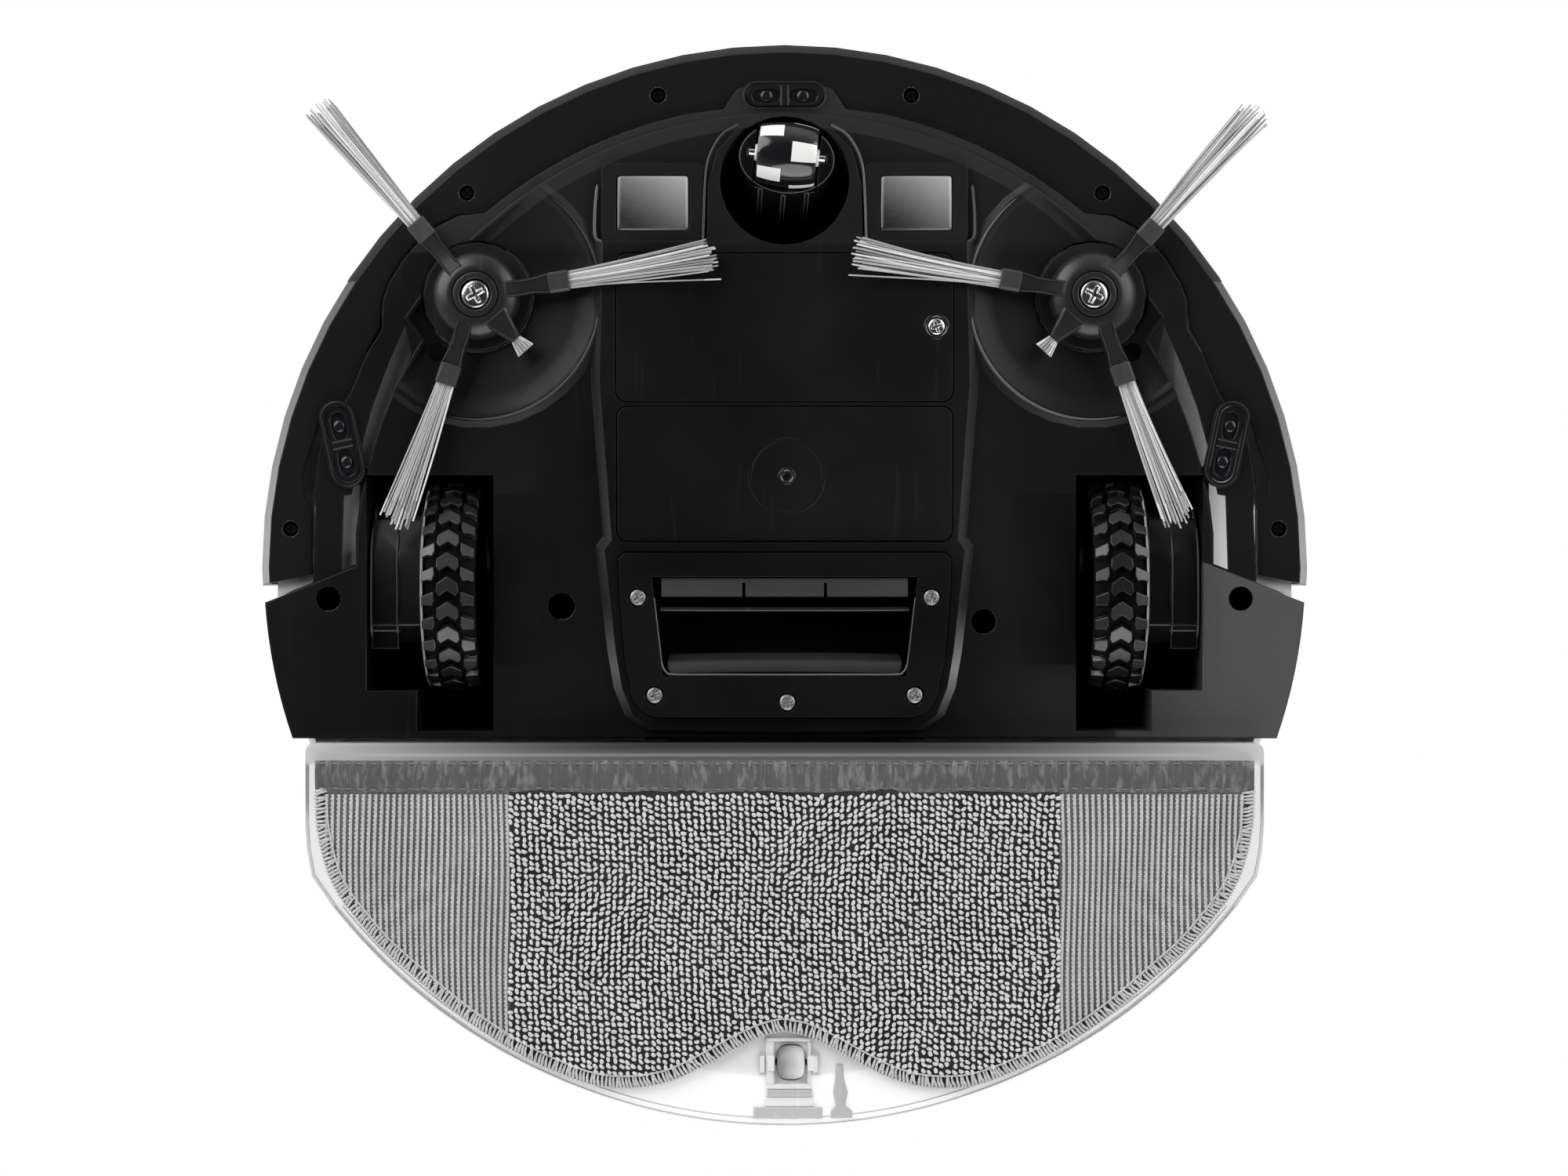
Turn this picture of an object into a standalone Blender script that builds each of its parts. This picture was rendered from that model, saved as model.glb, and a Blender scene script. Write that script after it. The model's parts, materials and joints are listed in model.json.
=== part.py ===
"""Robot vacuum with a clear rear water tank and mop: every piece as its own closed body.

Millimetres below, metres in the scene. +Z up, the robot's front faces -Y, origin on the floor
under the middle of the bounding box.
"""

import math

import bmesh
import bpy
from mathutils import Matrix, Vector

MM = 0.001

# Body
BODY_Y = -3.6
BODY_R = 162.0
COVER_R = 161.0
REAR_R = 159.3
PLATE_R = 139.0
SKIRT_R = 142.0
TOP_Z = 80.0
FLOOR_Z = 12.0
TRAY_TOP = 58.0
WALL = 2.0

# Running gear
WHEEL = (102.0, 2.2, 33.2)
WHEEL_R = 33.2
WHEEL_W = 16.5
PIVOT = (-17.8, 30.0)
CASTER = (0.0, -121.8)
CASTER_WHEEL = (0.0, -129.4, 10.0)
CASTER_TURN = 5.5
BRUSH = (94.0, -86.6)
BRUSH_TIP_R = 76.2
RIGHT_ARMS = (48.0, 170.0, 290.0)
LEFT_ARMS = (130.0, 9.0, 251.0)
RIGHT_STUB = 228.0
LEFT_STUB = 312.0

# Tank and mop
TANK_FRONT = 49.6
TANK_HALF = 145.2
TANK_REAR_Y = 165.6
TANK_ARC_R = 174.2
ROLLER = (1.9, 146.4, 5.4)
MOP_T = 3.4

# Fan
FAN = (0.0, 12.0)


def clear_scene():
    for obj in list(bpy.data.objects):
        bpy.data.objects.remove(obj, do_unlink=True)


clear_scene()
PARTS = bpy.data.collections.new("robot_vacuum")
CUTTERS = bpy.data.collections.new("cutters")
bpy.context.scene.collection.children.link(PARTS)
bpy.context.scene.collection.children.link(CUTTERS)
MATERIALS = {}


def material(slot, colour, roughness, metallic=0.0, transmission=0.0):
    mat = bpy.data.materials.new(slot)
    mat.use_nodes = True
    shader = mat.node_tree.nodes["Principled BSDF"]
    shader.inputs["Base Color"].default_value = (*colour, 1.0)
    shader.inputs["Roughness"].default_value = roughness
    shader.inputs["Metallic"].default_value = metallic
    shader.inputs["Transmission Weight"].default_value = transmission
    MATERIALS[slot] = mat


def to_object(bm, name):
    bmesh.ops.recalc_face_normals(bm, faces=bm.faces)
    mesh = bpy.data.meshes.new(name)
    bm.to_mesh(mesh)
    bm.free()
    obj = bpy.data.objects.new(name, mesh)
    PARTS.objects.link(obj)
    return obj


def drawn(name, points, step):
    """A closed outline of (x, y, z) points, filled and drawn out by a step."""
    bm = bmesh.new()
    face = bm.faces.new([bm.verts.new(Vector(p) * MM) for p in points])
    grown = bmesh.ops.extrude_face_region(bm, geom=[face], use_keep_orig=True)["geom"]
    ends = [v for v in grown if isinstance(v, bmesh.types.BMVert)]
    bmesh.ops.translate(bm, verts=ends, vec=Vector(step) * MM)
    return to_object(bm, name)


def prism(name, points, z0, z1):
    """A flat outline, in plan, drawn up from z0 to z1."""
    return drawn(name, [(x, y, z0) for x, y in points], (0, 0, z1 - z0))


def side_prism(name, points, x0, x1):
    """A flat outline in the YZ plane, drawn along X from x0 to x1."""
    return drawn(name, [(x0, y, z) for y, z in points], (x1 - x0, 0, 0))


def box(name, x0, x1, y0, y1, z0, z1):
    bm = bmesh.new()
    bmesh.ops.create_cube(bm, size=1.0)
    bmesh.ops.scale(bm, verts=bm.verts, vec=Vector((x1 - x0, y1 - y0, z1 - z0)) * MM)
    bmesh.ops.translate(bm, verts=bm.verts, vec=Vector((x0 + x1, y0 + y1, z0 + z1)) * 0.5 * MM)
    return to_object(bm, name)


def rounded(x0, x1, y0, y1, r, steps=4):
    """The outline of a rectangle with round corners."""
    out = []
    corners = ((x1 - r, y0 + r, -90), (x1 - r, y1 - r, 0), (x0 + r, y1 - r, 90), (x0 + r, y0 + r, 180))
    for cx, cy, start in corners:
        out += arc(cx, cy, r, start, start + 90, steps)
    return out


def arc(cx, cy, r, start, end, steps):
    angles = [math.radians(start + (end - start) * i / steps) for i in range(steps + 1)]
    return [(cx + r * math.cos(a), cy + r * math.sin(a)) for a in angles]


def circle(cx, cy, r, steps):
    angles = [math.tau * i / steps for i in range(steps)]
    return [(cx + r * math.cos(a), cy + r * math.sin(a)) for a in angles]


def cylinder(name, at, r, length, steps, turn):
    bm = bmesh.new()
    where = Matrix.Translation(Vector(at) * MM) @ turn
    bmesh.ops.create_cone(bm, cap_ends=True, segments=steps, radius1=r * MM, radius2=r * MM,
                          depth=length * MM, matrix=where)
    return to_object(bm, name)


def disc(name, cx, cy, r, z0, z1, steps=24):
    """A cylinder along Z."""
    turn = Matrix.Rotation(math.radians(90), 4, "Z")
    return cylinder(name, (cx, cy, (z0 + z1) / 2), r, z1 - z0, steps, turn)


def rod(name, y, z, r, x0, x1, steps=20):
    """A cylinder along X."""
    turn = Matrix.Rotation(math.radians(90), 4, "Y")
    return cylinder(name, ((x0 + x1) / 2, y, z), r, abs(x1 - x0), steps, turn)


def lathe(name, profile, cx, cy, steps, axis="Z", cz=0.0):
    """A closed profile of (radius, height) turned about an axis through (cx, cy, cz)."""
    bm = bmesh.new()
    centre = Vector((cx, cy, cz)) * MM
    offsets = [(r, 0.0, h) if axis == "Z" else (h, r, 0.0) for r, h in profile]
    verts = [bm.verts.new(centre + Vector(p) * MM) for p in offsets]
    edges = []
    for i, vert in enumerate(verts):
        if profile[i][0] > 0 or profile[i - 1][0] > 0:
            edges.append(bm.edges.new((verts[i - 1], vert)))
    around = (0, 0, 1) if axis == "Z" else (1, 0, 0)
    bmesh.ops.spin(bm, geom=verts + edges, cent=centre, axis=around, angle=math.tau,
                   steps=steps, use_merge=True)
    bmesh.ops.remove_doubles(bm, verts=bm.verts, dist=1e-6)
    return to_object(bm, name)


def loft(name, rings):
    """A solid through rings of equal point count, each a list of (x, y, z)."""
    bm = bmesh.new()
    made = [[bm.verts.new([c * MM for c in p]) for p in ring] for ring in rings]
    bm.faces.new(made[0])
    bm.faces.new(made[-1])
    for a, b in zip(made, made[1:]):
        for i in range(len(a)):
            j = (i + 1) % len(a)
            bm.faces.new((a[i], a[j], b[j], b[i]))
    return to_object(bm, name)


def coil(name, start, end, radius, wire, turns, steps=7):
    """A helical spring between two points, as a wire curve with closed ends."""
    a, b = Vector(start), Vector(end)
    along = (b - a).normalized()
    turn = along.to_track_quat("Z", "Y").to_matrix()
    length = (b - a).length - 2 * wire
    curve = bpy.data.curves.new(name, "CURVE")
    curve.dimensions = "3D"
    curve.bevel_depth = wire / 2 * MM
    curve.bevel_resolution = 0
    curve.use_fill_caps = True
    spline = curve.splines.new("POLY")
    spline.points.add(turns * steps)
    for i, point in enumerate(spline.points):
        angle = math.tau * i / steps
        off = turn @ Vector((radius * math.cos(angle), radius * math.sin(angle), 0))
        rise = wire + length * i / (turns * steps)
        point.co = (*((a + along * rise + off) * MM), 1.0)
    curve.materials.append(MATERIALS["spring_steel"])
    obj = bpy.data.objects.new(name, curve)
    PARTS.objects.link(obj)
    return obj


def boolean(target, tool, operation):
    PARTS.objects.unlink(tool)
    CUTTERS.objects.link(tool)
    tool.hide_render = True
    tool.display_type = "WIRE"
    mod = target.modifiers.new(tool.name, "BOOLEAN")
    mod.operation = operation
    mod.solver = "EXACT"
    mod.object = tool
    return target


def cut(target, *tools):
    for tool in tools:
        boolean(target, tool, "DIFFERENCE")
    return target


def fuse(target, *tools):
    for tool in tools:
        boolean(target, tool, "UNION")
    return target


def dress(obj, slot, angle=35.0):
    obj.data.materials.append(MATERIALS[slot])
    for poly in obj.data.polygons:
        poly.use_smooth = True
    obj.data.set_sharp_from_angle(angle=math.radians(angle))
    return obj


def pivot_at(obj, x, y, z):
    """Puts the object's origin on its joint axis."""
    at = Vector((x, y, z)) * MM
    obj.data.transform(Matrix.Translation(-at))
    obj.location = at
    return obj


def both(points):
    """Adds the mirror image of a right-hand outline that starts and ends on the centre line."""
    return points + [(-x, y) for x, y in reversed(points)]


def body_arc(r, y0, y1, steps):
    """The right-hand arc about the body's centre from y0 to y1."""
    a0 = math.degrees(math.asin((y0 - BODY_Y) / r))
    a1 = math.degrees(math.asin((y1 - BODY_Y) / r))
    return arc(0, BODY_Y, r, a0, a1, steps)


def ring_profile(r0, r1, z0, z1):
    return [(r0, z0), (r1, z0), (r1, z1), (r0, z1)]


def tank_outline(inset=0.0, notch=0.0):
    """The tank's plan: straight front and sides, then one long arc round the rear."""
    half = TANK_HALF - inset
    front = TANK_FRONT + inset
    r = TANK_ARC_R - inset
    cy = TANK_REAR_Y - TANK_ARC_R
    pts = [(0.0, front), (half - 2.5, front)]
    pts += arc(half - 2.5, front + 2.5, 2.5, -60, 0, 2)
    pts += [(half, 74.0), (half - 0.5, 82.0), (half - 2.0, 90.0)]
    a0 = math.degrees(math.atan2(99.0 - cy, math.sqrt(r * r - (99.0 - cy) ** 2)))
    pts += arc(0, cy, r, a0, 90, 14)
    return both(pts[:-1] + [(0.0, cy + r - notch)])[:-1]


def tray_outline(offset=0.0):
    """The plan of the chassis tray's wall, moved outward by offset."""
    pts = [(0.0, BODY_Y - (PLATE_R - 1) - offset)]
    pts += body_arc(PLATE_R - 1 + offset, BODY_Y - PLATE_R + 1.2 - offset, -78.0, 14)[1:]
    pts += body_arc(130.5 + offset, -74.0, -4.0 - offset * 0.4, 8)
    pts += [(155.2 + offset, 6.0 - offset * 0.4)]
    pts += body_arc(REAR_R - 1.0 + offset, 8.0, 48.6 + offset, 6)
    pts += [(0.0, 48.6 + offset)]
    return both(pts[:-1] + [(0.0, 48.6 + offset)])[1:-1]


def skirt_outline():
    """The lower plate's plan: bumper line, brush bays, sensor pods and the rear shell."""
    pts = [(0.0, -151.4), (10.0, -151.4), (14.5, -150.0), (17.0, -146.5), (18.5, -143.9)]
    pts += body_arc(SKIRT_R, -144.0, -112.0, 8)[1:]
    pts += [(99.8, -111.2), (106.9, -107.6), (112.9, -102.1), (116.8, -97.4), (121.0, -90.5)]
    pts += [(122.8, -85.4), (123.2, -76.4), (127.5, -69.5), (132.8, -56.9), (135.2, -53.4)]
    pts += [(138.6, -51.8), (140.6, -47.0), (142.4, -38.6), (144.0, -26.2), (143.4, -21.0), (144.3, 0.8)]
    pts += [(156.0, 5.9)]
    pts += body_arc(REAR_R, 7.0, 48.6, 8)
    return both(pts + [(0.0, 48.6)])[1:-1]


def side_slot(side):
    """The open band between the plate and the sensor pod."""
    pts = [(116.2, -78.2), (121.4, -66.0), (126.4, -52.6), (130.0, -39.0), (132.6, -26.0), (135.0, -25.6)]
    pts += [(135.7, -3.0), (131.2, -4.8)]
    pts += [(131.2, -14.0), (130.0, -24.0), (127.9, -33.2), (124.6, -44.5), (120.0, -56.9), (114.4, -69.0)]
    return [(side * x, y) for x, y in pts]


def chassis_plate():
    """The flat floor of the tray with its step, suction platform and sensor pods."""
    base = prism("chassis_base", skirt_outline(), 12.6, 14.2)
    plate = [(0.0, BODY_Y - PLATE_R)] + body_arc(PLATE_R, BODY_Y - PLATE_R + 0.1, -80.0, 14)
    plate += body_arc(130.9, -73.0, -4.0, 8) + [(155.6, 6.0)]
    plate += body_arc(REAR_R - 0.4, 7.4, 48.2, 6) + [(0.0, 48.2)]
    plate = both(plate)[1:-1]
    fuse(base, prism("floor_plate", plate, FLOOR_Z, 14.5))
    wall = prism("tray_wall", tray_outline(), 13.4, TRAY_TOP)
    hollow = prism("tray_hollow", tray_outline(-WALL), 12.0, TRAY_TOP + 2)
    fuse(base, cut(wall, hollow))
    platform = [(0, -103.0), (55.5, -103.0), (56.5, -60.0), (52.8, -12.0), (55.0, -9.0), (51.5, 22.0)]
    platform += [(49.6, 33.0), (46.2, 41.5), (40.0, 46.0), (0, 46.6)]
    fuse(base, loft("suction_platform", platform_rings(both(platform)[1:-1])))
    return base


def platform_rings(points):
    """The raised middle with sloping sides, from the floor down to its face."""
    out = []
    for grow, z in ((3.4, 13.0), (1.6, 10.6), (0.0, 9.2)):
        ring = []
        for x, y in points:
            ring.append((x + grow * (1 if x > 0 else -1), y + (0 if y > 0 else -0.4 * grow), z))
        out.append(ring)
    return out


def chassis_wells(base):
    """Wheel wells, their roofs, the caster well and the battery bay."""
    for side in (1, -1):
        tag = "right" if side > 0 else "left"
        outer = [(86.8, -34.2), (130.0, -34.2), (130.0, 36.2), (114.7, 36.2), (114.7, 48.0), (86.8, 48.0)]
        inner = [(89.0, -32.0), (128.0, -32.0), (128.0, 34.0), (112.5, 34.0), (112.5, 46.4), (89.0, 46.4)]
        fuse(base, prism("well_wall_" + tag, [(side * x, y) for x, y in outer], 13.0, 70.6))
        cut(base, prism("well_space_" + tag, [(side * x, y) for x, y in inner], 9.0, 68.6))
        hole = prism("side_slot_" + tag, side_slot(side), 9.0, 16.0)
        cut(base, hole)
    x, y = CASTER
    fuse(base, disc("caster_wall", x, y, 22.0, 12.8, 56.0, 28))
    return base


def chassis_caster(base):
    x, y = CASTER
    collar = [(0, y - 17.0), (14.0, y - 16.2), (20.6, y - 9.0)]
    collar += [(23.4, y + 1.0), (23.8, y + 20.6), (0, y + 20.6)]
    fuse(base, prism("caster_collar", both(collar)[1:-1], 9.4, 13.0))
    cut(base, disc("caster_well", x, y, 19.8, 6.0, 53.6, 28))
    cut(base, disc("caster_bearing", x, y, 4.4, 50.0, 60.0, 20))
    return base


def brush_dish(base, side):
    """The shallow round dish over each side brush, cut off at the bumper line."""
    tag = "right" if side > 0 else "left"
    x, y = side * BRUSH[0], BRUSH[1]
    opening = disc("dish_opening_" + tag, x, y, 36.2, 8.0, 17.2, 30)
    inside = prism("dish_opening_limit_" + tag, dish_limit(side, 0.8), 5.0, 25.0)
    cut(base, boolean(opening, inside, "INTERSECT"))
    profile = [(17.2, 14.9), (30.0, 13.0), (35.6, 11.7), (37.0, 10.5), (38.4, 10.5), (40.6, 12.2)]
    profile += [(40.6, 13.7), (34.6, 15.2), (17.2, 17.0)]
    dish = lathe("dish_" + tag, profile, x, y, 30)
    keep = prism("dish_limit_" + tag, dish_limit(side, 0.0), 5.0, 25.0)
    boolean(dish, keep, "INTERSECT")
    fuse(base, dish)
    cut(base, disc("brush_socket_" + tag, x, y, 17.2, 5.0, 17.4, 28))
    return base


def dish_limit(side, inset):
    """The side of the floor plate that a brush dish may fill."""
    pts = [(20.0, -140.0)] + body_arc(PLATE_R - inset, -134.0, -80.0, 12)
    pts += body_arc(130.9 - inset, -73.0, -30.0, 6) + [(20.0, -30.0)]
    return [(side * x, y) for x, y in pts]


def chassis_details(base):
    """Contact bezels, battery bay, duct, locating holes and the sensor pods' ovals."""
    for side in (1, -1):
        tag = "right" if side > 0 else "left"
        cx, cy = side * 40.2, -114.8
        bezel = rounded(cx - 15.6, cx + 15.6, cy - 12.2, cy + 12.2, 2.2)
        fuse(base, prism("contact_bezel_" + tag, bezel, 9.6, 13.0))
        seat = rounded(cx - 11.2, cx + 11.2, cy - 8.6, cy + 8.6, 0.9, 2)
        cut(base, prism("contact_seat_" + tag, seat, 7.0, 11.0))
        cut(base, disc("rear_hole_" + tag, side * 139.5, 5.9, 3.8, 8.0, 20.0, 16))
        cut(base, disc("brush_hole_" + tag, side * 106.4, -69.8, 3.1, 8.0, 20.0, 12))
        cut(base, disc("motor_bay_" + tag, side * BRUSH[0], BRUSH[1], 12.4, 16.0, 40.0, 20))
        oval = turned_oval(side * 135.2, -41.4, 12.0, 3.9, side * 12.0)
        rim = turned_oval(side * 135.2, -41.4, 13.6, 5.5, side * 12.0)
        fuse(base, prism("pod_rim_" + tag, rim, 11.6, 13.4))
        cut(base, prism("pod_seat_" + tag, oval, 8.0, 18.0))
    cut(base, disc("locator_left", -68.2, 8.2, 4.2, 8.0, 20.0, 16))
    cut(base, disc("locator_right", 60.9, 12.9, 3.9, 8.0, 20.0, 16))
    cut(base, prism("front_seat", turned_oval(0.0, -148.0, 12.0, 3.5, 90.0), 8.0, 18.0))
    cut(base, prism("battery_recess", rounded(-51.7, 51.7, -99.7, -54.0, 3.4), 6.0, 10.9))
    cut(base, box("battery_bay", -48.5, 48.5, -96.0, -56.6, 5.0, 20.0))
    cut(base, prism("duct_recess", rounded(-51.4, 51.4, -53.0, -11.4, 3.4), 6.0, 10.9))
    fuse(base, box("duct_wall", -43.0, 43.0, -4.0, 49.0, 13.5, 40.0))
    cut(base, prism("duct_space", [(-40.8, -1.4), (40.8, -1.4), (37.6, 29.8), (-37.6, 29.8)], 4.0, 30.0))
    cut(base, box("duct_run", -39.0, 39.0, -1.4, 60.0, 22.0, 38.0))
    cut(base, box("fan_port", -10.6, 10.6, 44.0, 52.0, 43.4, 56.6))
    cut(base, prism("inlet_recess", inlet_outline(0.4), 4.0, 10.9))
    return base


def turned_oval(cx, cy, half_length, half_width, tilt, steps=8):
    """A stadium outline whose long axis leans from Y by tilt degrees towards the front's outside."""
    pts = arc(0, half_length - half_width, half_width, 0, 180, steps)
    pts += arc(0, -half_length + half_width, half_width, 180, 360, steps)
    a = math.radians(tilt)
    return [(cx + x * math.cos(a) - y * math.sin(a), cy + x * math.sin(a) + y * math.cos(a)) for x, y in pts]


def inlet_outline(grow=0.0):
    """The suction frame: wider at the front, round at the rear corners."""
    pts = [(0.0, -8.1 - grow), (48.6 + grow, -8.1 - grow), (50.5 + grow, -6.2 - grow), (50.2 + grow, 4.0)]
    pts += [(48.4 + grow, 26.0)] + arc(37.6, 32.4, 9.4 + grow, -5, 90, 7) + [(0.0, 41.8 + grow)]
    return both(pts)[1:-1]


def make_chassis():
    base = chassis_plate()
    chassis_wells(base)
    for side in (1, -1):
        brush_dish(base, side)
    chassis_caster(base)
    chassis_details(base)
    return dress(base, "black_abs", 30)


def bumper_pocket(side):
    """The bay in the bumper's lower face round a side sensor pod."""
    pts = [(120.0, -54.6), (134.4, -54.6), (138.3, -53.6), (141.2, -51.7), (143.3, -47.9), (145.0, -41.6)]
    pts += [(147.2, -35.2), (148.4, -30.7), (148.1, -26.0), (144.9, -21.4), (144.9, 8.0), (120.0, 8.0)]
    return [(side * x, y) for x, y in pts]


def brush_pocket(side):
    """The bay in the bumper's lower face beyond a side brush dish."""
    pts = [(80.0, -116.5), (92.6, -112.0), (100.0, -112.0), (107.6, -108.4), (113.8, -102.7), (117.8, -97.8)]
    pts += [(122.0, -90.8), (123.8, -85.5), (124.2, -77.0), (128.3, -70.0), (110.0, -60.0), (70.0, -100.0)]
    return [(side * x, y) for x, y in pts]


def make_bumper():
    profile = [(158.0, 14.6), (141.4, 14.6), (141.4, 16.4), (157.4, 16.4), (159.8, 25.0), (159.8, 59.0)]
    profile += [(161.2, 59.0), (BODY_R, 58.0), (BODY_R, 25.0), (160.4, 18.0)]
    shell = lathe("bumper_shell", profile, 0, BODY_Y, 64)
    cut_pts = [(-200, 200), (-200, 9.5), (-162.0, 1.9), (-142.5, -2.0), (-120.0, -6.5), (-90, 30)]
    cut_pts += [(90, 30), (120.0, -6.5), (142.5, -2.0), (162.0, 1.9), (200, 9.5), (200, 200)]
    cut(shell, prism("bumper_end_line", cut_pts, 0.0, 90.0))
    bay = [(-10.6, -138.0), (-9.7, -146.7), (9.9, -146.7), (10.8, -138.0)]
    cut(shell, prism("bumper_caster_bay", bay, 10.0, 17.4))
    for side in (1, -1):
        tag = "right" if side > 0 else "left"
        cut(shell, prism("bumper_pod_bay_" + tag, bumper_pocket(side), 10.0, 17.4))
        cut(shell, prism("bumper_brush_bay_" + tag, brush_pocket(side), 10.0, 17.4))
        for angle, r in ((15.0, 150.0), (40.3, 150.7), (85.5, 152.0)):
            a = math.radians(angle)
            x, y = side * r * math.sin(a), BODY_Y - r * math.cos(a)
            cut(shell, disc("bumper_hole_%s_%d" % (tag, angle), x, y, 2.6, 10.0, 20.0, 10))
    window = lathe("window_bay", ring_profile(156.0, 170.0, 23.0, 52.0), 0, BODY_Y, 64)
    boolean(window, prism("window_sector", sector(57.0, 200.0), 10.0, 70.0), "INTERSECT")
    boolean(shell, window, "DIFFERENCE")
    dress(shell, "white_shell", 30)
    pane = lathe("bumper_window", ring_profile(160.1, BODY_R - 0.15, 23.4, 51.6), 0, BODY_Y, 64)
    boolean(pane, prism("pane_sector", sector(56.8, 200.0), 10.0, 70.0), "INTERSECT")
    return dress(pane, "smoked_window", 30)


def sector(half_angle, r):
    """A wedge that opens to the front."""
    pts = arc(0, BODY_Y, r, -90 - half_angle, -90 + half_angle, 12)
    return [(0.0, BODY_Y)] + pts


def make_mid_frame():
    ring = lathe("mid_frame", ring_profile(143.8, 145.8, 17.4, 60.4), 0, BODY_Y, 48)
    flange = prism("mid_flange", tray_outline(16.0), 17.4, 19.2)
    boolean(flange, disc("mid_flange_limit", 0, BODY_Y, 144.8, 10.0, 30.0, 48), "INTERSECT")
    cut(flange, prism("mid_flange_inside", tray_outline(0.5), 10.0, 30.0))
    fuse(ring, flange)
    cut(ring, prism("mid_rear_cut", [(-200, 0.8), (200, 0.8), (200, 200), (-200, 200)], 0.0, 90.0))
    for x0, x1 in ((-130.6, -86.0), (86.0, 130.6)):
        cut(ring, box("mid_well_cut_%d" % x0, x0, x1, -34.8, 36.8, 10.0, 90.0))
    cut(ring, disc("mid_caster_cut", CASTER[0], CASTER[1], 22.6, 10.0, 24.0, 40))
    for side in (1, -1):
        tag = "right" if side > 0 else "left"
        tab = [(side * 144.9, -9.0), (side * 155.6, -9.0), (side * 156.0, 5.2), (side * 145.3, 1.0), (side * 144.9, 0.6)]
        fuse(ring, prism("mid_side_tab_" + tag, tab, 17.9, 19.6))
    return dress(ring, "white_shell", 30)


def make_top_cover():
    """The round lid; its side comes down beside the rear shell and stops above bumper and tank."""
    profile = [(0, TOP_Z), (155.0, TOP_Z), (159.6, 78.4), (COVER_R, 74.0), (COVER_R, 24.6)]
    profile += [(158.9, 24.6), (158.9, 76.0), (157.0, 77.6), (0, 77.6)]
    cover = lathe("top_cover", profile, 0, BODY_Y, 64)
    cut(cover, prism("cover_front_cut", [(-200, -200), (200, -200), (200, 7.2), (-200, 7.2)], 10.0, 61.4))
    cut(cover, prism("cover_rear_cut", [(-200, 48.6), (200, 48.6), (200, 200), (-200, 200)], 10.0, 48.4))
    for name, x in (("power", -15.0), ("home", 15.0)):
        cut(cover, disc(name + "_button_hole", x, -118.0, 8.4, 70.0, 90.0, 16))
    return dress(cover, "white_shell", 30)


def make_buttons():
    for name, x in (("power_button", -15.0), ("home_button", 15.0)):
        profile = [(0, 80.4), (6.6, 80.4), (8.0, 79.8), (8.0, 76.4), (9.6, 76.4), (9.6, 75.0), (0, 75.0)]
        button = lathe(name, profile, x, -118.0, 16)
        pivot_at(button, x, -118.0, 77.0)
        dress(button, "button_grey", 30)
    board = box("button_board", -30.0, 30.0, -128.0, -108.0, 70.6, 72.2)
    for x in (-15.0, 15.0):
        fuse(board, disc("switch_%d" % x, x, -118.0, 2.0, 71.6, 73.8, 12))
    fuse(board, box("board_foot", -28.0, 28.0, -112.0, -109.5, 57.0, 71.0))
    dress(board, "circuit_board", 30)


def make_covers():
    battery = prism("battery_cover", rounded(-51.3, 51.3, -99.3, -54.4, 3.0), 9.0, 10.6)
    cut(battery, disc("battery_screw_hole", 46.3, -77.1, 3.4, 5.0, 9.7, 24))
    cut(battery, disc("battery_screw_bore", 46.3, -77.1, 1.5, 5.0, 15.0, 16))
    dress(battery, "black_abs", 30)
    screw("battery_cover_screw", 46.3, -77.1, 2.6, 8.7, 9.5, 1.2, 11.6)
    duct = prism("duct_cover", rounded(-51.0, 51.0, -52.6, -11.8, 3.0), 9.0, 10.6)
    cut(duct, lathe("duct_cover_ring", ring_profile(11.0, 11.8, 5.0, 9.2), 0.7, -31.5, 16))
    cut(duct, disc("duct_screw_hole", 0.7, -31.5, 2.1, 5.0, 9.9, 16))
    cut(duct, disc("duct_screw_bore", 0.7, -31.5, 1.1, 5.0, 15.0, 12))
    screw("duct_cover_screw", 0.7, -31.5, 1.7, 9.1, 9.8, 0.8, 10.5, "dark_screw")
    return dress(duct, "black_abs", 30)


def screw(name, x, y, head_r, z0, z1, shank_r, z2, slot="bright_steel"):
    """A cross-head screw driven upward; the head spans z0 to z1."""
    profile = [(0, z0), (head_r * 0.75, z0), (head_r, z0 + 0.35 * (z1 - z0)), (head_r, z1), (shank_r, z1)]
    profile += [(shank_r, z2), (0, z2)]
    made = lathe(name, profile, x, y, 10)
    arm, deep = head_r * 0.55, z0 + 0.45 * (z1 - z0)
    thin = head_r * 0.14
    cross = []
    for u, v in ((1, 0), (0, 1), (-1, 0), (0, -1)):
        cross += [(u * arm + v * thin, v * arm - u * thin), (u * arm - v * thin, v * arm + u * thin)]
        cross += [((u - v) * thin, (u + v) * thin)]
    cut(made, prism(name + "_cross", [(x + u, y + v) for u, v in cross], z0 - 2, deep))
    return dress(made, slot, 30)


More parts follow.
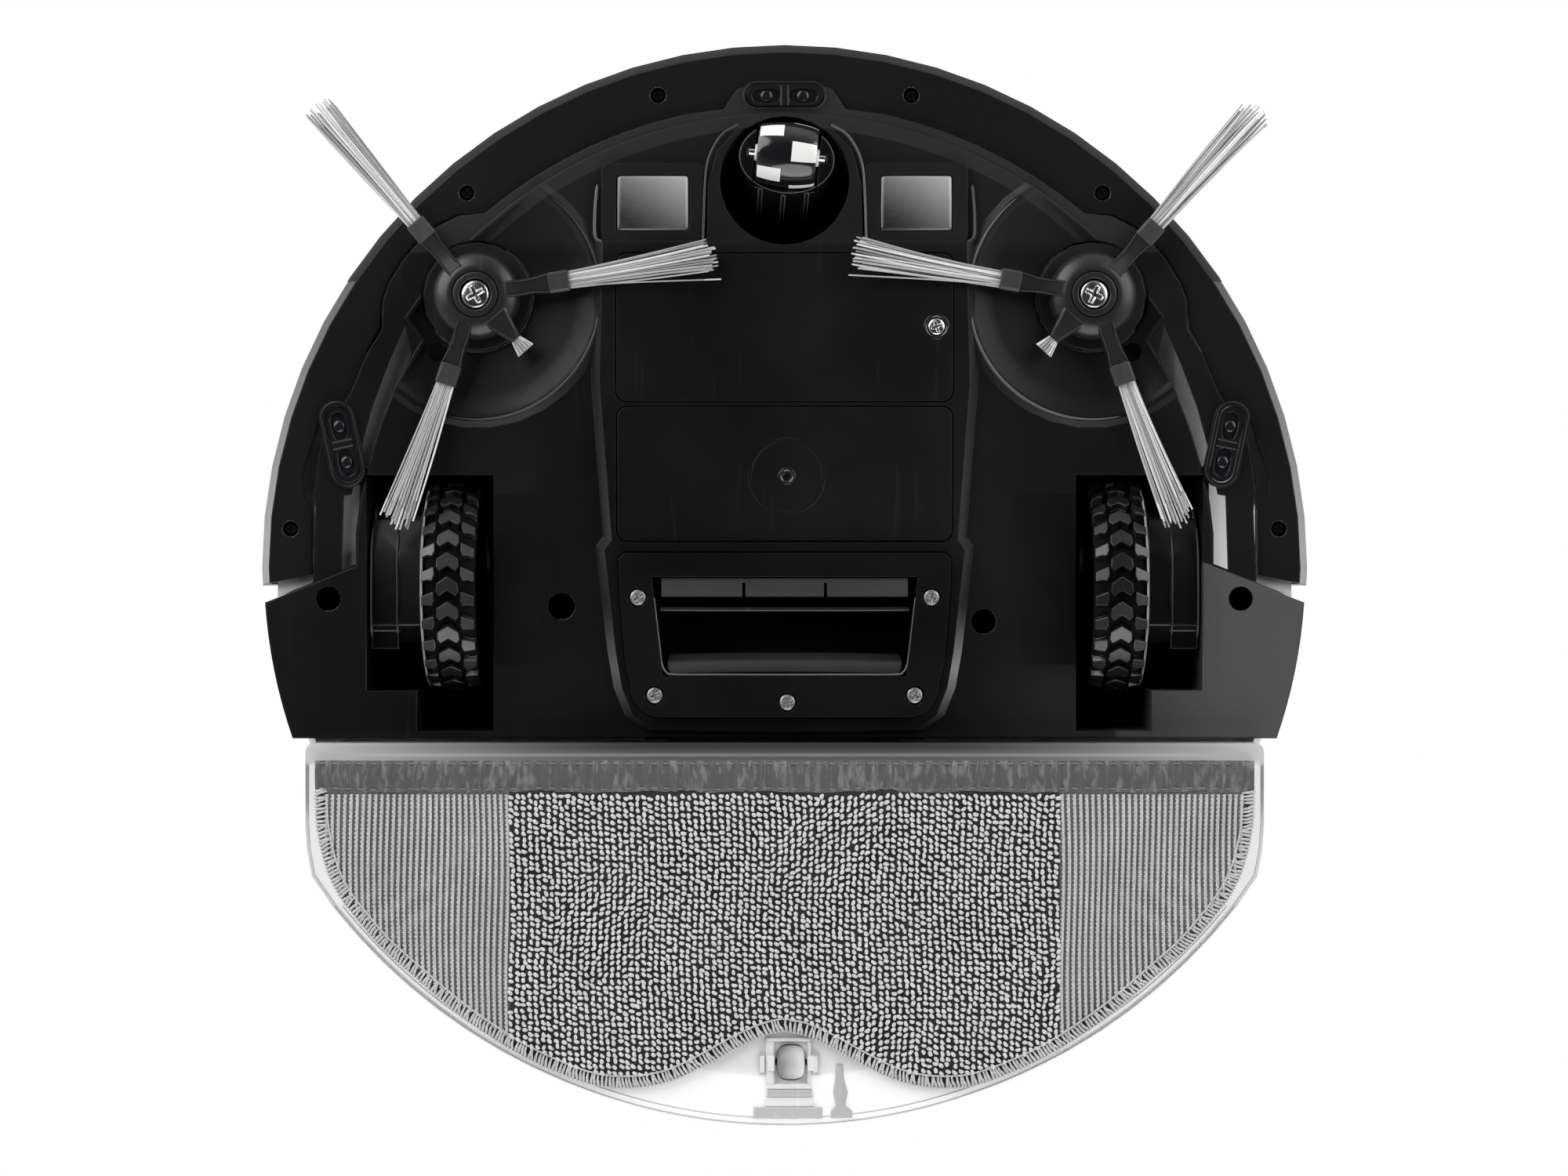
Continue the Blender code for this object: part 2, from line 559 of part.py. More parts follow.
def make_inlet():
    frame = prism("inlet_frame", inlet_outline(), 5.2, 10.6)
    cut(frame, prism("inlet_mouth", [(-40.4, -0.8), (40.4, -0.8), (37.0, 29.3), (-37.0, 29.3)], 2.0, 20.0))
    spots = [(-44.6, 5.5), (44.6, 5.5), (-39.5, 35.2), (39.5, 35.2), (0.8, 37.3)]
    for i, (x, y) in enumerate(spots):
        cut(frame, disc("inlet_sink_%d" % i, x, y, 3.0, 2.0, 6.9, 10))
        cut(frame, disc("inlet_bore_%d" % i, x, y, 1.4, 2.0, 20.0, 8))
        screw("inlet_screw_%d" % (i + 1), x, y, 2.6, 5.4, 6.7, 1.1, 10.4, "zinc_screw")
    dress(frame, "satin_abs", 30)
    comb = [(-37.4, -0.4), (37.4, -0.4), (37.4, 5.2), (12.9, 5.2), (12.9, 1.0), (11.9, 1.0), (11.9, 5.2)]
    comb += [(-11.9, 5.2), (-11.9, 1.0), (-12.9, 1.0), (-12.9, 5.2), (-37.4, 5.2)]
    flap = prism("inlet_flap", comb, 6.2, 7.0)
    fuse(flap, box("flap_root", -37.4, 37.4, -0.4, 0.8, 6.2, 10.4))
    pivot_at(flap, 0.0, 0.0, 10.0)
    dress(flap, "grey_rubber", 30)


def make_contacts():
    for side in (1, -1):
        tag = "right" if side > 0 else "left"
        cx, cy = side * 40.2, -114.8
        outline = rounded(cx - 10.8, cx + 10.8, cy - 8.3, cy + 8.3, 0.8, 2)
        plate = prism("charge_contact_" + tag, outline, 9.2, 10.7)
        dress(plate, "contact_steel", 30)


def make_cliff_sensors():
    spots = [("left", -135.2, -41.4, 11.7, 3.6, -12.0), ("right", 135.2, -41.4, 11.7, 3.6, 12.0)]
    spots.append(("front", 0.0, -148.0, 11.7, 3.2, 90.0))
    for tag, x, y, half_length, half_width, tilt in spots:
        body = prism("cliff_sensor_" + tag, turned_oval(x, y, half_length, half_width, tilt), 12.2, 14.3)
        for end in (-1, 1):
            a = math.radians(tilt)
            u, v = -math.sin(a) * end * 5.6, math.cos(a) * end * 5.6
            pit = turned_oval(x + u, y + v, 4.6, 2.3, tilt, 4)
            cut(body, prism("cliff_pit_%s_%d" % (tag, end), pit, 5.0, 13.2))
        dress(body, "sensor_black", 30)


def swivelled(obj):
    """Turns a caster piece, and the tools that shape it, to its swivel angle at rest."""
    centre = Matrix.Translation(Vector((*CASTER, 0.0)) * MM)
    turn = Matrix.Rotation(math.radians(CASTER_TURN), 4, "Z")
    for piece in [obj] + [mod.object for mod in obj.modifiers]:
        piece.data.transform(centre @ turn @ centre.inverted())
    return obj


def make_caster():
    x, y = CASTER
    wx, wy, wz = CASTER_WHEEL
    rings = []
    steps = ((wy + 0.8, 14.5, 10.7, 10.2), (wy + 1.1, 14.5, 10.8, 12.0),
             (y - 2.7, 13.6, 12.3, 22.0), (y + 0.2, 12.4, 12.4, 34.0))
    for cy, rx, ry, z in steps:
        rings.append([(px, cy + (py - cy) * ry / rx, z) for px, py in circle(x, cy, rx, 28)])
    fork = loft("caster_fork", rings)
    for gx in (-3.55, 3.55):
        panel = [(wy + 11.0, 12.6), (y + 8.4, 22.0), (y + 11.4, 34.5), (y + 22.0, 34.5), (y + 22.0, 12.6)]
        cut(fork, side_prism("fork_panel_%d" % (gx * 10), panel, gx - 2.75, gx + 2.75))
    for gx, low, middle, high in ((-7.1, 3.2, 8.4, 11.0), (0.0, 4.6, 10.1, 13.1), (7.1, 3.2, 8.4, 11.0)):
        rib = [(y + low, 12.0), (y + middle, 22.0), (y + high, 34.0),
               (y + high - 3.0, 34.0), (y + middle - 3.0, 22.0), (y + low - 1.2, 12.0)]
        fuse(fork, side_prism("fork_rib_%d" % gx, rib, gx - 0.6, gx + 0.6))
    fuse(fork, disc("caster_stem", x, y, 4.0, 33.0, 55.4, 20))
    cut(fork, rod("fork_arch", wy, wz, 10.5, -9.9, 9.9, 24))
    cut(fork, box("fork_mouth", -9.9, 9.9, wy - 10.5, wy + 10.5, 2.0, wz + 0.4))
    cut(fork, box("axle_mouth", -12.0, 12.0, wy - 1.35, wy + 1.35, 2.0, wz))
    cut(fork, rod("axle_seat", wy, wz, 1.35, -12.0, 12.0, 16))
    pivot_at(swivelled(fork), x, y, 30.0)
    dress(fork, "black_abs", 30)
    profile = [(1.5, -9.6), (4.2, -9.6), (4.2, -9.1), (8.5, -9.1), (9.6, -5.0), (10.0, 0.0), (9.6, 5.0)]
    profile += [(8.5, 9.1), (4.2, 9.1), (4.2, 9.6), (1.5, 9.6)]
    wheel = swivelled(lathe("caster_wheel", profile, wx, wy, 20, "X", wz))
    turn = math.radians(CASTER_TURN)
    pivot_at(wheel, x - (wy - y) * math.sin(turn), y + (wy - y) * math.cos(turn), wz)
    dress(wheel, "caster_plastic", 30)
    axle = swivelled(rod("caster_axle", wy, wz, 1.1, -11.6, 11.6, 14))
    dress(axle, "bright_steel", 30)


def brush_arms(side):
    arms = RIGHT_ARMS if side > 0 else LEFT_ARMS
    return [-a for a in arms]


def spoke(cx, cy, angle, points):
    """Turns points of (along, across) to lie on a spoke from a brush's centre."""
    a = math.radians(angle)
    c, s = math.cos(a), math.sin(a)
    return [(cx + u * c - v * s, cy + u * s + v * c) for u, v in points]


def make_brush_hub(side, tag):
    x, y = side * BRUSH[0], BRUSH[1]
    profile = [(1.8, 6.7), (4.7, 6.7), (4.7, 5.0), (6.7, 4.8)]
    profile += [(7.2, 5.5), (10.2, 6.1), (12.6, 7.9), (13.4, 10.4)]
    profile += [(13.4, 12.3), (12.2, 12.3), (12.2, 10.2), (9.8, 7.6), (1.8, 7.6)]
    hub = lathe("side_brush_hub_" + tag, profile, x, y, 16)
    for i, angle in enumerate(brush_arms(side)):
        arm = [(9.0, -4.2), (22.8, -2.6), (22.8, 2.6), (9.0, 4.2)]
        fuse(hub, prism("arm_%s_%d" % (tag, i), spoke(x, y, angle, arm), 6.5, 9.4))
        tip = [(22.4, -3.1), (28.8, -3.3), (28.8, 3.3), (22.4, 3.1)]
        fuse(hub, prism("ferrule_%s_%d" % (tag, i), spoke(x, y, angle, tip), 5.2, 10.2))
        slot = [(7.0, -1.5), (31.0, -1.5), (31.0, 1.5), (7.0, 1.5)]
        cut(hub, prism("groove_%s_%d" % (tag, i), spoke(x, y, angle, slot), 7.6, 14.0))
    stub = -(RIGHT_STUB if side > 0 else LEFT_STUB)
    cone = [(9.0, -4.6), (18.4, -1.9), (18.4, 1.9), (9.0, 4.6)]
    fuse(hub, prism("cone_" + tag, spoke(x, y, stub, cone), 6.6, 9.6))
    slot = [(7.0, -0.9), (20.0, -0.9), (20.0, 0.9), (7.0, 0.9)]
    cut(hub, prism("cone_groove_" + tag, spoke(x, y, stub, slot), 7.6, 14.0))
    pivot_at(hub, x, y, 8.0)
    return dress(hub, "brush_rubber", 30)


def tuft_outline(x, y, angle, start, end, w0, w1, fingers):
    """A fan of straight fingers from a root block."""
    step = 2.0 / fingers
    root = start + 3.0
    pts = [(start, -w0)]
    for i in range(fingers):
        a, b = -1 + i * step, -1 + (i + 1) * step
        reach = end - 1.6 * ((i * 5) % 3) / 2
        gap = 0.16 * step
        pts += [(reach, (a + gap * 0.6) * w1), (reach, (b - gap * 0.6) * w1)]
        if i < fingers - 1:
            pts.append((root, b * w0))
    pts.append((start, w0))
    return spoke(x, y, angle, pts)


def make_bristles(side, tag):
    x, y = side * BRUSH[0], BRUSH[1]
    ring = lathe("side_brush_bristles_" + tag, ring_profile(4.4, 8.4, 7.9, 9.0), x, y, 24)
    for i, angle in enumerate(brush_arms(side)):
        strip = [(7.6, -1.2), (29.6, -1.2), (29.6, 1.2), (7.6, 1.2)]
        fuse(ring, prism("strip_%s_%d" % (tag, i), spoke(x, y, angle, strip), 7.9, 9.0))
        outline = tuft_outline(x, y, angle, 29.2, BRUSH_TIP_R, 2.6, 4.9, 5)
        fan = prism("tuft_%s_%d" % (tag, i), outline, 7.6, 9.0)
        for vert in fan.data.vertices:
            out = math.hypot(vert.co.x / MM - x, vert.co.y / MM - y)
            vert.co.z -= max(0.0, out - 33.0) * 0.145 * MM
        fuse(ring, fan)
    stub = -(RIGHT_STUB if side > 0 else LEFT_STUB)
    strip = [(7.6, -0.6), (18.9, -0.6), (18.9, -2.0), (22.6, -3.2)]
    strip += [(22.6, 3.2), (18.9, 2.0), (18.9, 0.6), (7.6, 0.6)]
    fuse(ring, prism("stub_" + tag, spoke(x, y, stub, strip), 7.95, 8.95))
    pivot_at(ring, x, y, 8.0)
    return dress(ring, "bristle_grey", 30)


def make_brush_motor(side, tag):
    x, y = side * BRUSH[0], BRUSH[1]
    profile = [(1.7, 8.2), (3.2, 8.2), (3.2, 12.9), (16.6, 12.9), (16.6, 16.4), (12.0, 16.8), (12.0, 30.0)]
    profile += [(1.7, 30.0)]
    motor = lathe("side_brush_motor_" + tag, profile, x, y, 16)
    fuse(motor, disc("motor_can_" + tag, x - side * 2.0, y + 2.0, 8.0, 28.0, 46.0, 12))
    dress(motor, "black_abs", 30)
    screw("side_brush_screw_" + tag, x, y, 4.2, 5.2, 6.5, 1.4, 14.0)
    return motor


def make_brushes():
    for side, tag in ((1, "right"), (-1, "left")):
        make_brush_hub(side, tag)
        make_bristles(side, tag)
        make_brush_motor(side, tag)


def make_tyre(side, tag):
    """A rubber tyre with pointed ribs, like a herringbone gear."""
    x, y, z = side * WHEEL[0], WHEEL[1], WHEEL[2]
    teeth, half = 16, WHEEL_W / 2
    bm = bmesh.new()
    rings = []
    outline = ((0.0, 0), (0.5, 0), (0.62, 1), (0.88, 1))
    for across, shift, low in ((-half, 0.0, 0.9), (0.0, 0.75, 0.0), (half, 0.0, 0.9)):
        ring = []
        for i in range(teeth):
            for at, deep in outline:
                a = math.tau * (i + at + shift) / teeth
                r = WHEEL_R - low - (2.2 if deep else 0.0)
                at = Vector((x + across, y + r * math.cos(a), z + r * math.sin(a)))
                ring.append(bm.verts.new(at * MM))
        rings.append(ring)
    count = len(rings[0])
    bores = []
    for across in (-half, half):
        ring = []
        for i in range(count):
            a = math.tau * i / count
            at = Vector((x + across, y + 26.0 * math.cos(a), z + 26.0 * math.sin(a)))
            ring.append(bm.verts.new(at * MM))
        bores.append(ring)
    loops = [bores[0]] + rings + [bores[1], bores[0]]
    for a, b in zip(loops, loops[1:]):
        for i in range(count):
            j = (i + 1) % count
            bm.faces.new((a[i], a[j], b[j], b[i]))
    tyre = to_object(bm, "tyre_" + tag)
    pivot_at(tyre, x, y, z)
    return dress(tyre, "tyre_rubber", 30)


def make_wheel_hub(side, tag):
    x, y, z = side * WHEEL[0], WHEEL[1], WHEEL[2]
    profile = [(0, -6.5), (24.0, -6.5), (24.0, -7.6), (25.7, -7.6), (25.7, 7.6)]
    profile += [(24.0, 7.6), (24.0, 3.0), (5.0, 3.0), (5.0, 6.0), (0, 6.0)]
    profile = [(r, side * h) for r, h in profile]
    hub = lathe("wheel_hub_" + tag, profile, x, y, 20, "X", z)
    fuse(hub, rod("hub_axle_" + tag, y, z, 3.0, x + side * 5.0, x + side * 12.0, 10))
    pivot_at(hub, x, y, z)
    return dress(hub, "black_abs", 30)


def make_gearbox(side, tag):
    """The swing arm that holds the wheel: a two-part case on a front pivot."""
    y, z = WHEEL[1], WHEEL[2]
    py, pz = PIVOT
    case = [(py - 1.0, 22.0), (-8.0, 16.6), (14.0, 16.6), (19.6, 23.0)]
    case += [(19.6, 44.0), (12.0, 49.6), (-10.0, 49.6), (py - 1.0, 40.0)]
    box_ = side_prism("gearbox_" + tag, case, side * 111.4, side * 127.2)
    fuse(box_, rod("pivot_barrel_" + tag, py, pz, 4.6, side * 111.4, side * 127.4, 20))
    cut(box_, rod("axle_bore_" + tag, y, z, 3.4, side * 105.0, side * 120.0, 20))
    cut(box_, box("case_seam_" + tag, *sorted((side * 118.8, side * 119.3)), -15.0, 22.0, 10.0, 17.2))
    fuse(box_, box("rear_lug_" + tag, *sorted((side * 118.6, side * 127.2)), 13.6, 21.4, 18.6, 25.0))
    fuse(box_, box("spring_hook_" + tag, *sorted((side * 121.0, side * 125.6)), 8.0, 14.0, 48.0, 52.4))
    pivot_at(box_, side * 119.0, py, pz)
    dress(box_, "satin_abs", 30)
    motor = rod("wheel_motor_" + tag, 0.0, 58.4, 7.0, side * 111.8, side * 119.4, 24)
    fuse(motor, box("motor_boss_" + tag, *sorted((side * 112.6, side * 118.6)), -3.0, 3.0, 50.0, 54.0))
    dress(motor, "bright_steel", 30)
    top = (side * 123.3, 11.0, 68.3)
    coil("suspension_spring_" + tag, (side * 123.3, 11.0, 52.7), top, 2.6, 0.8, 5)


def make_drive():
    for side, tag in ((1, "right"), (-1, "left")):
        make_tyre(side, tag)
        make_wheel_hub(side, tag)
        make_gearbox(side, tag)


def make_bumper_springs():
    for side, tag in ((1, "right"), (-1, "left")):
        front = BODY_Y - math.sqrt(159.8 ** 2 - 60.0 ** 2) + 2.6
        back = BODY_Y - math.sqrt(145.8 ** 2 - 60.0 ** 2) - 2.4
        coil("bumper_spring_" + tag, (side * 60, front, 38), (side * 60, back, 38), 3.0, 0.8, 4)


def make_inside():
    battery = prism("battery_pack", rounded(-47.5, 47.5, -95.4, -57.2, 3.0, 2), 15.2, 37.0)
    dress(battery, "cell_wrap", 30)
    board = prism("main_board", rounded(-58.0, 58.0, -52.0, -22.0, 2.0, 2), 30.0, 31.6)
    fuse(board, box("board_chip", -12.0, 4.0, -44.0, -30.0, 31.0, 33.4))
    fuse(board, box("board_plug", 30.0, 46.0, -50.0, -44.0, 31.0, 37.0))
    fuse(board, box("board_post_a", -54.0, -50.0, -40.0, -36.0, 14.7, 31.0))
    fuse(board, box("board_post_b", 50.0, 54.0, -40.0, -36.0, 14.7, 31.0))
    dress(board, "circuit_board", 30)
    x, y = FAN
    profile = [(13.0, 41.0), (34.0, 41.0), (34.0, 62.0), (26.0, 62.0)]
    profile += [(26.0, 60.4), (32.2, 60.4), (32.2, 42.6), (13.0, 42.6)]
    housing = lathe("fan_housing", profile, x, y, 16)
    fuse(housing, box("fan_snout", -10.0, 10.0, 43.0, 48.2, 44.0, 56.0))
    cut(housing, box("fan_snout_way", -8.0, 8.0, 30.0, 46.4, 46.0, 54.0))
    cut(housing, disc("fan_snout_clear", x, y, 32.2, 42.7, 60.3, 16))
    dress(housing, "satin_abs", 30)
    profile = [(2.0, 44.4), (29.0, 44.4), (29.0, 45.6), (6.0, 45.6), (6.0, 54.0), (2.0, 54.0)]
    wheel = lathe("impeller", profile, x, y, 18)
    for i in range(7):
        blade = [(5.0, -0.6), (28.0, 3.0), (28.0, 4.2), (5.0, 0.6)]
        fuse(wheel, prism("blade_%d" % i, spoke(x, y, i * 360.0 / 7, blade), 45.0, 54.6))
    pivot_at(wheel, x, y, 50.0)
    dress(wheel, "satin_abs", 30)
    profile = [(0, 47.0), (1.7, 47.0), (1.7, 56.0), (14.0, 56.0), (14.0, 60.0)]
    profile += [(27.4, 62.4), (27.4, 64.0), (14.0, 64.0), (14.0, 74.0), (0, 74.0)]
    dress(lathe("fan_motor", profile, x, y, 16), "bright_steel", 30)


def make_tank():
    shell = prism("tank_shell", tank_outline(), 3.9, 13.6)
    upper = [(0.0, TANK_FRONT + 0.4), (138.0, TANK_FRONT + 0.4)] + body_arc(156.4, 74.0, 150.0, 12)
    upper = both(upper + [(0.0, BODY_Y + 156.4)])[1:-1]
    fuse(shell, prism("tank_upper", upper, 12.0, 43.6))
    inner = [(0.0, TANK_FRONT + 2.4), (136.0, TANK_FRONT + 2.4)] + body_arc(154.4, 74.0, 148.0, 12)
    inner = both(inner + [(0.0, BODY_Y + 154.4)])[1:-1]
    cut(shell, prism("tank_hollow", inner, 6.0, 50.0))
    fuse(shell, box("bin_wall_a", -66.0, -64.4, 50.6, 128.0, 5.0, 43.4))
    fuse(shell, box("bin_wall_b", 64.4, 66.0, 50.6, 128.0, 5.0, 43.4))
    fuse(shell, box("bin_wall_c", -66.0, 66.0, 126.4, 128.0, 5.0, 43.4))
    cut(shell, box("bin_mouth", -36.0, 36.0, 40.0, 58.0, 22.6, 37.4))
    x, y, z = ROLLER
    cut(shell, box("roller_bay", x - 4.9, x + 4.9, y - 6.4, y + 6.4, 0.0, 12.2))
    cheek = [(x - 7.4, y - 7.6), (x + 7.4, y - 7.6), (x + 7.4, y + 8.0), (x - 7.4, y + 8.0)]
    gap = box("bracket_gap", x - 4.9, x + 4.9, y - 6.4, y + 6.4, 0.0, 11.8)
    fuse(shell, cut(prism("roller_bracket", cheek, 5.0, 13.0), gap))
    for end in (-1, 1):
        ear = [(y - 2.2, 2.4), (y + 2.2, 2.4), (y + 3.4, 8.0), (y - 3.4, 8.0)]
        fuse(shell, side_prism("roller_ear_%d" % end, ear, x + end * 4.95, x + end * 7.2))
    cut(shell, rod("roller_seat", y, z, 1.35, x - 6.4, x + 6.4, 14))
    fuse(shell, disc("vent_peg", 16.5, 152.5, 1.9, 3.9, 9.0, 16))
    return dress(shell, "clear_tank", 30)


def make_tank_lid():
    inner = [(0.0, TANK_FRONT + 0.8), (137.4, TANK_FRONT + 0.8)] + body_arc(156.0, 74.0, 149.0, 12)
    inner = both(inner + [(0.0, BODY_Y + 156.0)])[1:-1]
    lid = prism("tank_lid", inner, 43.9, 46.0)
    cut(lid, disc("lid_filler", -100.0, 90.0, 7.4, 40.0, 50.0, 18))
    cut(lid, box("latch_notch", -14.0, 14.0, 140.0, 170.0, 40.0, 50.0))
    dress(lid, "tank_grey", 30)


def make_tank_fittings():
    profile = [(0, 43.2), (7.0, 43.2), (7.1, 46.3), (9.2, 46.4), (9.2, 47.6), (0, 47.6)]
    plug = lathe("water_plug", profile, -100.0, 90.0, 18)
    pivot_at(plug, -109.2, 90.0, 46.8)
    dress(plug, "grey_rubber", 30)
    x, y, z = ROLLER
    profile = [(1.4, -4.2), (4.4, -4.2), (5.1, -2.4), (5.3, 0.0), (5.1, 2.4), (4.4, 4.2), (1.4, 4.2)]
    roller = lathe("tank_roller", profile, x, y, 18, "X", z)
    pivot_at(roller, x, y, z)
    dress(roller, "grey_rubber", 30)
    axle = rod("tank_roller_axle", y, z, 1.05, x - 6.1, x + 6.1, 14)
    dress(axle, "bright_steel", 30)
    latch = box("tank_latch", -13.0, 13.0, 141.6, 151.2, 44.1, 47.4)
    fuse(latch, prism("latch_hook", [(-5.0, 136.0), (5.0, 136.0), (5.0, 142.0), (-5.0, 142.0)], 46.3, 48.0))
    dress(latch, "tank_grey", 30)
    frame = box("dust_filter", -62.0, 62.0, 60.0, 66.0, 8.4, 41.0)
    for i in range(9):
        px = -56.0 + i * 12.6
        cut(frame, box("pleat_%d" % i, px, px + 8.4, 58.0, 64.6, 11.0, 21.0))
    cut(frame, box("filter_way", -38.0, 38.0, 50.0, 70.0, 22.4, 45.0))
    dress(frame, "filter_white", 30)


def mop_points():
    """Half of the mop cloth's plan, from the front binding round to the rear notch."""
    pts = [(141.8, 54.9), (141.9, 60.0), (141.9, 66.0), (141.2, 76.0), (138.6, 87.0), (134.6, 95.5)]
    pts += [(129.0, 103.0), (121.5, 111.6), (112.0, 120.0), (99.5, 130.6), (86.0, 140.0), (76.0, 145.6)]
    pts += [(66.0, 150.0), (58.0, 152.6), (50.5, 153.6), (42.0, 153.2), (33.0, 151.0), (23.0, 146.2)]
    return pts + [(14.0, 141.2), (6.0, 137.6), (1.4, 136.4)]


def make_mop():
    right = mop_points()
    left = [(-x, y) for x, y in reversed(right)]
    pad = prism("mop_pad", right + left, 0.0, MOP_T)
    return dress(pad, "mop_cloth", 30)


def materials():
    material("black_abs", (0.018, 0.018, 0.02), 0.42)
    material("satin_abs", (0.02, 0.02, 0.022), 0.3)
    material("white_shell", (0.82, 0.82, 0.82), 0.25)
    material("smoked_window", (0.01, 0.01, 0.012), 0.08)
    material("button_grey", (0.6, 0.6, 0.62), 0.35)
    material("circuit_board", (0.02, 0.12, 0.05), 0.5)
    material("bright_steel", (0.72, 0.72, 0.72), 0.22, 1.0)
    material("zinc_screw", (0.5, 0.5, 0.5), 0.38, 1.0)
    material("dark_screw", (0.08, 0.08, 0.08), 0.35, 1.0)
    material("spring_steel", (0.55, 0.55, 0.56), 0.3, 1.0)
    material("contact_steel", (0.62, 0.62, 0.62), 0.25, 1.0)
    material("grey_rubber", (0.16, 0.16, 0.16), 0.6)
    material("sensor_black", (0.008, 0.008, 0.01), 0.15)
    material("caster_plastic", (0.02, 0.02, 0.02), 0.3)
    material("brush_rubber", (0.02, 0.02, 0.022), 0.45)
    material("bristle_grey", (0.5, 0.5, 0.5), 0.5)
    material("tyre_rubber", (0.03, 0.03, 0.03), 0.7)
    material("cell_wrap", (0.03, 0.08, 0.2), 0.35)
    material("clear_tank", (0.9, 0.92, 0.93), 0.1, 0.0, 0.9)
    material("tank_grey", (0.3, 0.3, 0.32), 0.4)
    material("filter_white", (0.85, 0.85, 0.82), 0.8)
    material("mop_cloth", (0.3, 0.3, 0.31), 0.95)


materials()
make_chassis()
make_mid_frame()
make_top_cover()
make_buttons()
make_bumper()
make_covers()
make_inlet()
make_contacts()
make_cliff_sensors()
make_caster()
make_brushes()
make_drive()
make_bumper_springs()
make_inside()
make_tank()
make_tank_lid()
make_tank_fittings()
make_mop()
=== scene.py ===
"""Underside studio view of a round robot vacuum with a rear mop module. Shapes are in millimetres."""

import json
from math import acos, atan2, copysign, cos, degrees, exp, hypot, pi, radians, sin, sqrt, tau

import bmesh
import bpy
import numpy as np
from mathutils import Matrix, Vector


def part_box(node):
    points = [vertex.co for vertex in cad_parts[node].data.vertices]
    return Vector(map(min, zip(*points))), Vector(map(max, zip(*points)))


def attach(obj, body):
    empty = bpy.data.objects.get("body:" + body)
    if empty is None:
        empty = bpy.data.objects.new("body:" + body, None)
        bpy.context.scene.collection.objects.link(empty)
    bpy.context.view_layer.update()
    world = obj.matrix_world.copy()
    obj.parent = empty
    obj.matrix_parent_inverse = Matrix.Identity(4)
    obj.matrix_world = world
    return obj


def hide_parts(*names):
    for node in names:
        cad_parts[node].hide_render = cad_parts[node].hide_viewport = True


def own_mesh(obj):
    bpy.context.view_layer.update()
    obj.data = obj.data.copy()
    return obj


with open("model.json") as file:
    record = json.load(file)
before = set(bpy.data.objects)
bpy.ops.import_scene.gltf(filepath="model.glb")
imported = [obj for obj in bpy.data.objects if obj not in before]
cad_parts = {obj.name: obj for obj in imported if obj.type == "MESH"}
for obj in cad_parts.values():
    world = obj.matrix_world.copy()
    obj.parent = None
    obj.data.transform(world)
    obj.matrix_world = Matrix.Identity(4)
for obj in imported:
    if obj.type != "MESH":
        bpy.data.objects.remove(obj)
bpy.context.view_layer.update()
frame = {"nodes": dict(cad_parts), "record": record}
NODES = frame["nodes"]
SLOTS = {part["node"]: part["material_slot"] for part in frame["record"]["subparts"]}
MM = 0.001
SIDES = ((1, "right"), (-1, "left"))
rng = np.random.default_rng(11)

BODY_Y = -3.6  # middle of the round body
WHEEL = (102.0, 2.2, 33.2)  # drive wheel's axle, right side
BRUSH = (94.0, -86.6)  # side brush's axis, right side
ARMS = {1: (48.0, 170.0, 290.0), -1: (130.0, 9.0, 251.0)}  # right and left brush: degrees from +X to -Y
INNER_ARMS = (170.0, 9.0)  # these two carry a stray strand
STUBS = {1: 228.0, -1: 312.0}  # the short tuft of each brush
CASTER = (0.0, -121.8)  # swivel axis
CASTER_WHEEL = (0.0, -129.4, 10.0)  # middle of its barrel
CASTER_TURN = 5.5  # degrees that the caster stands turned at rest
CONTACT = (40.2, -114.8, 10.8, 8.3)  # plate's centre and half sizes
ROLLER = (1.9, 146.4, 5.4)  # support roller's middle
TANK_ARC_R = 174.2  # radius of the tank's rear edge
TANK_REAR_Y = 165.6  # its rearmost point
MOP_FRONT = 55.4  # mop cloth's front edge
MOP_HALF = 141.8  # mop cloth's half width
TERRY_HALF = 82.9  # half width of the terry middle
TERRY_FRONT = 65.5  # its front edge, behind the binding


# ---------------------------------------------------------------- materials
WHITE = (1.0, 1.0, 1.0)


def grey(level, blue=0.0):
    """A neutral colour, a little cooler by blue."""
    return (level, level, level + blue)


def scaled(colour, factor):
    """A darker or lighter colour."""
    return [min(1.0, c * factor) for c in colour]


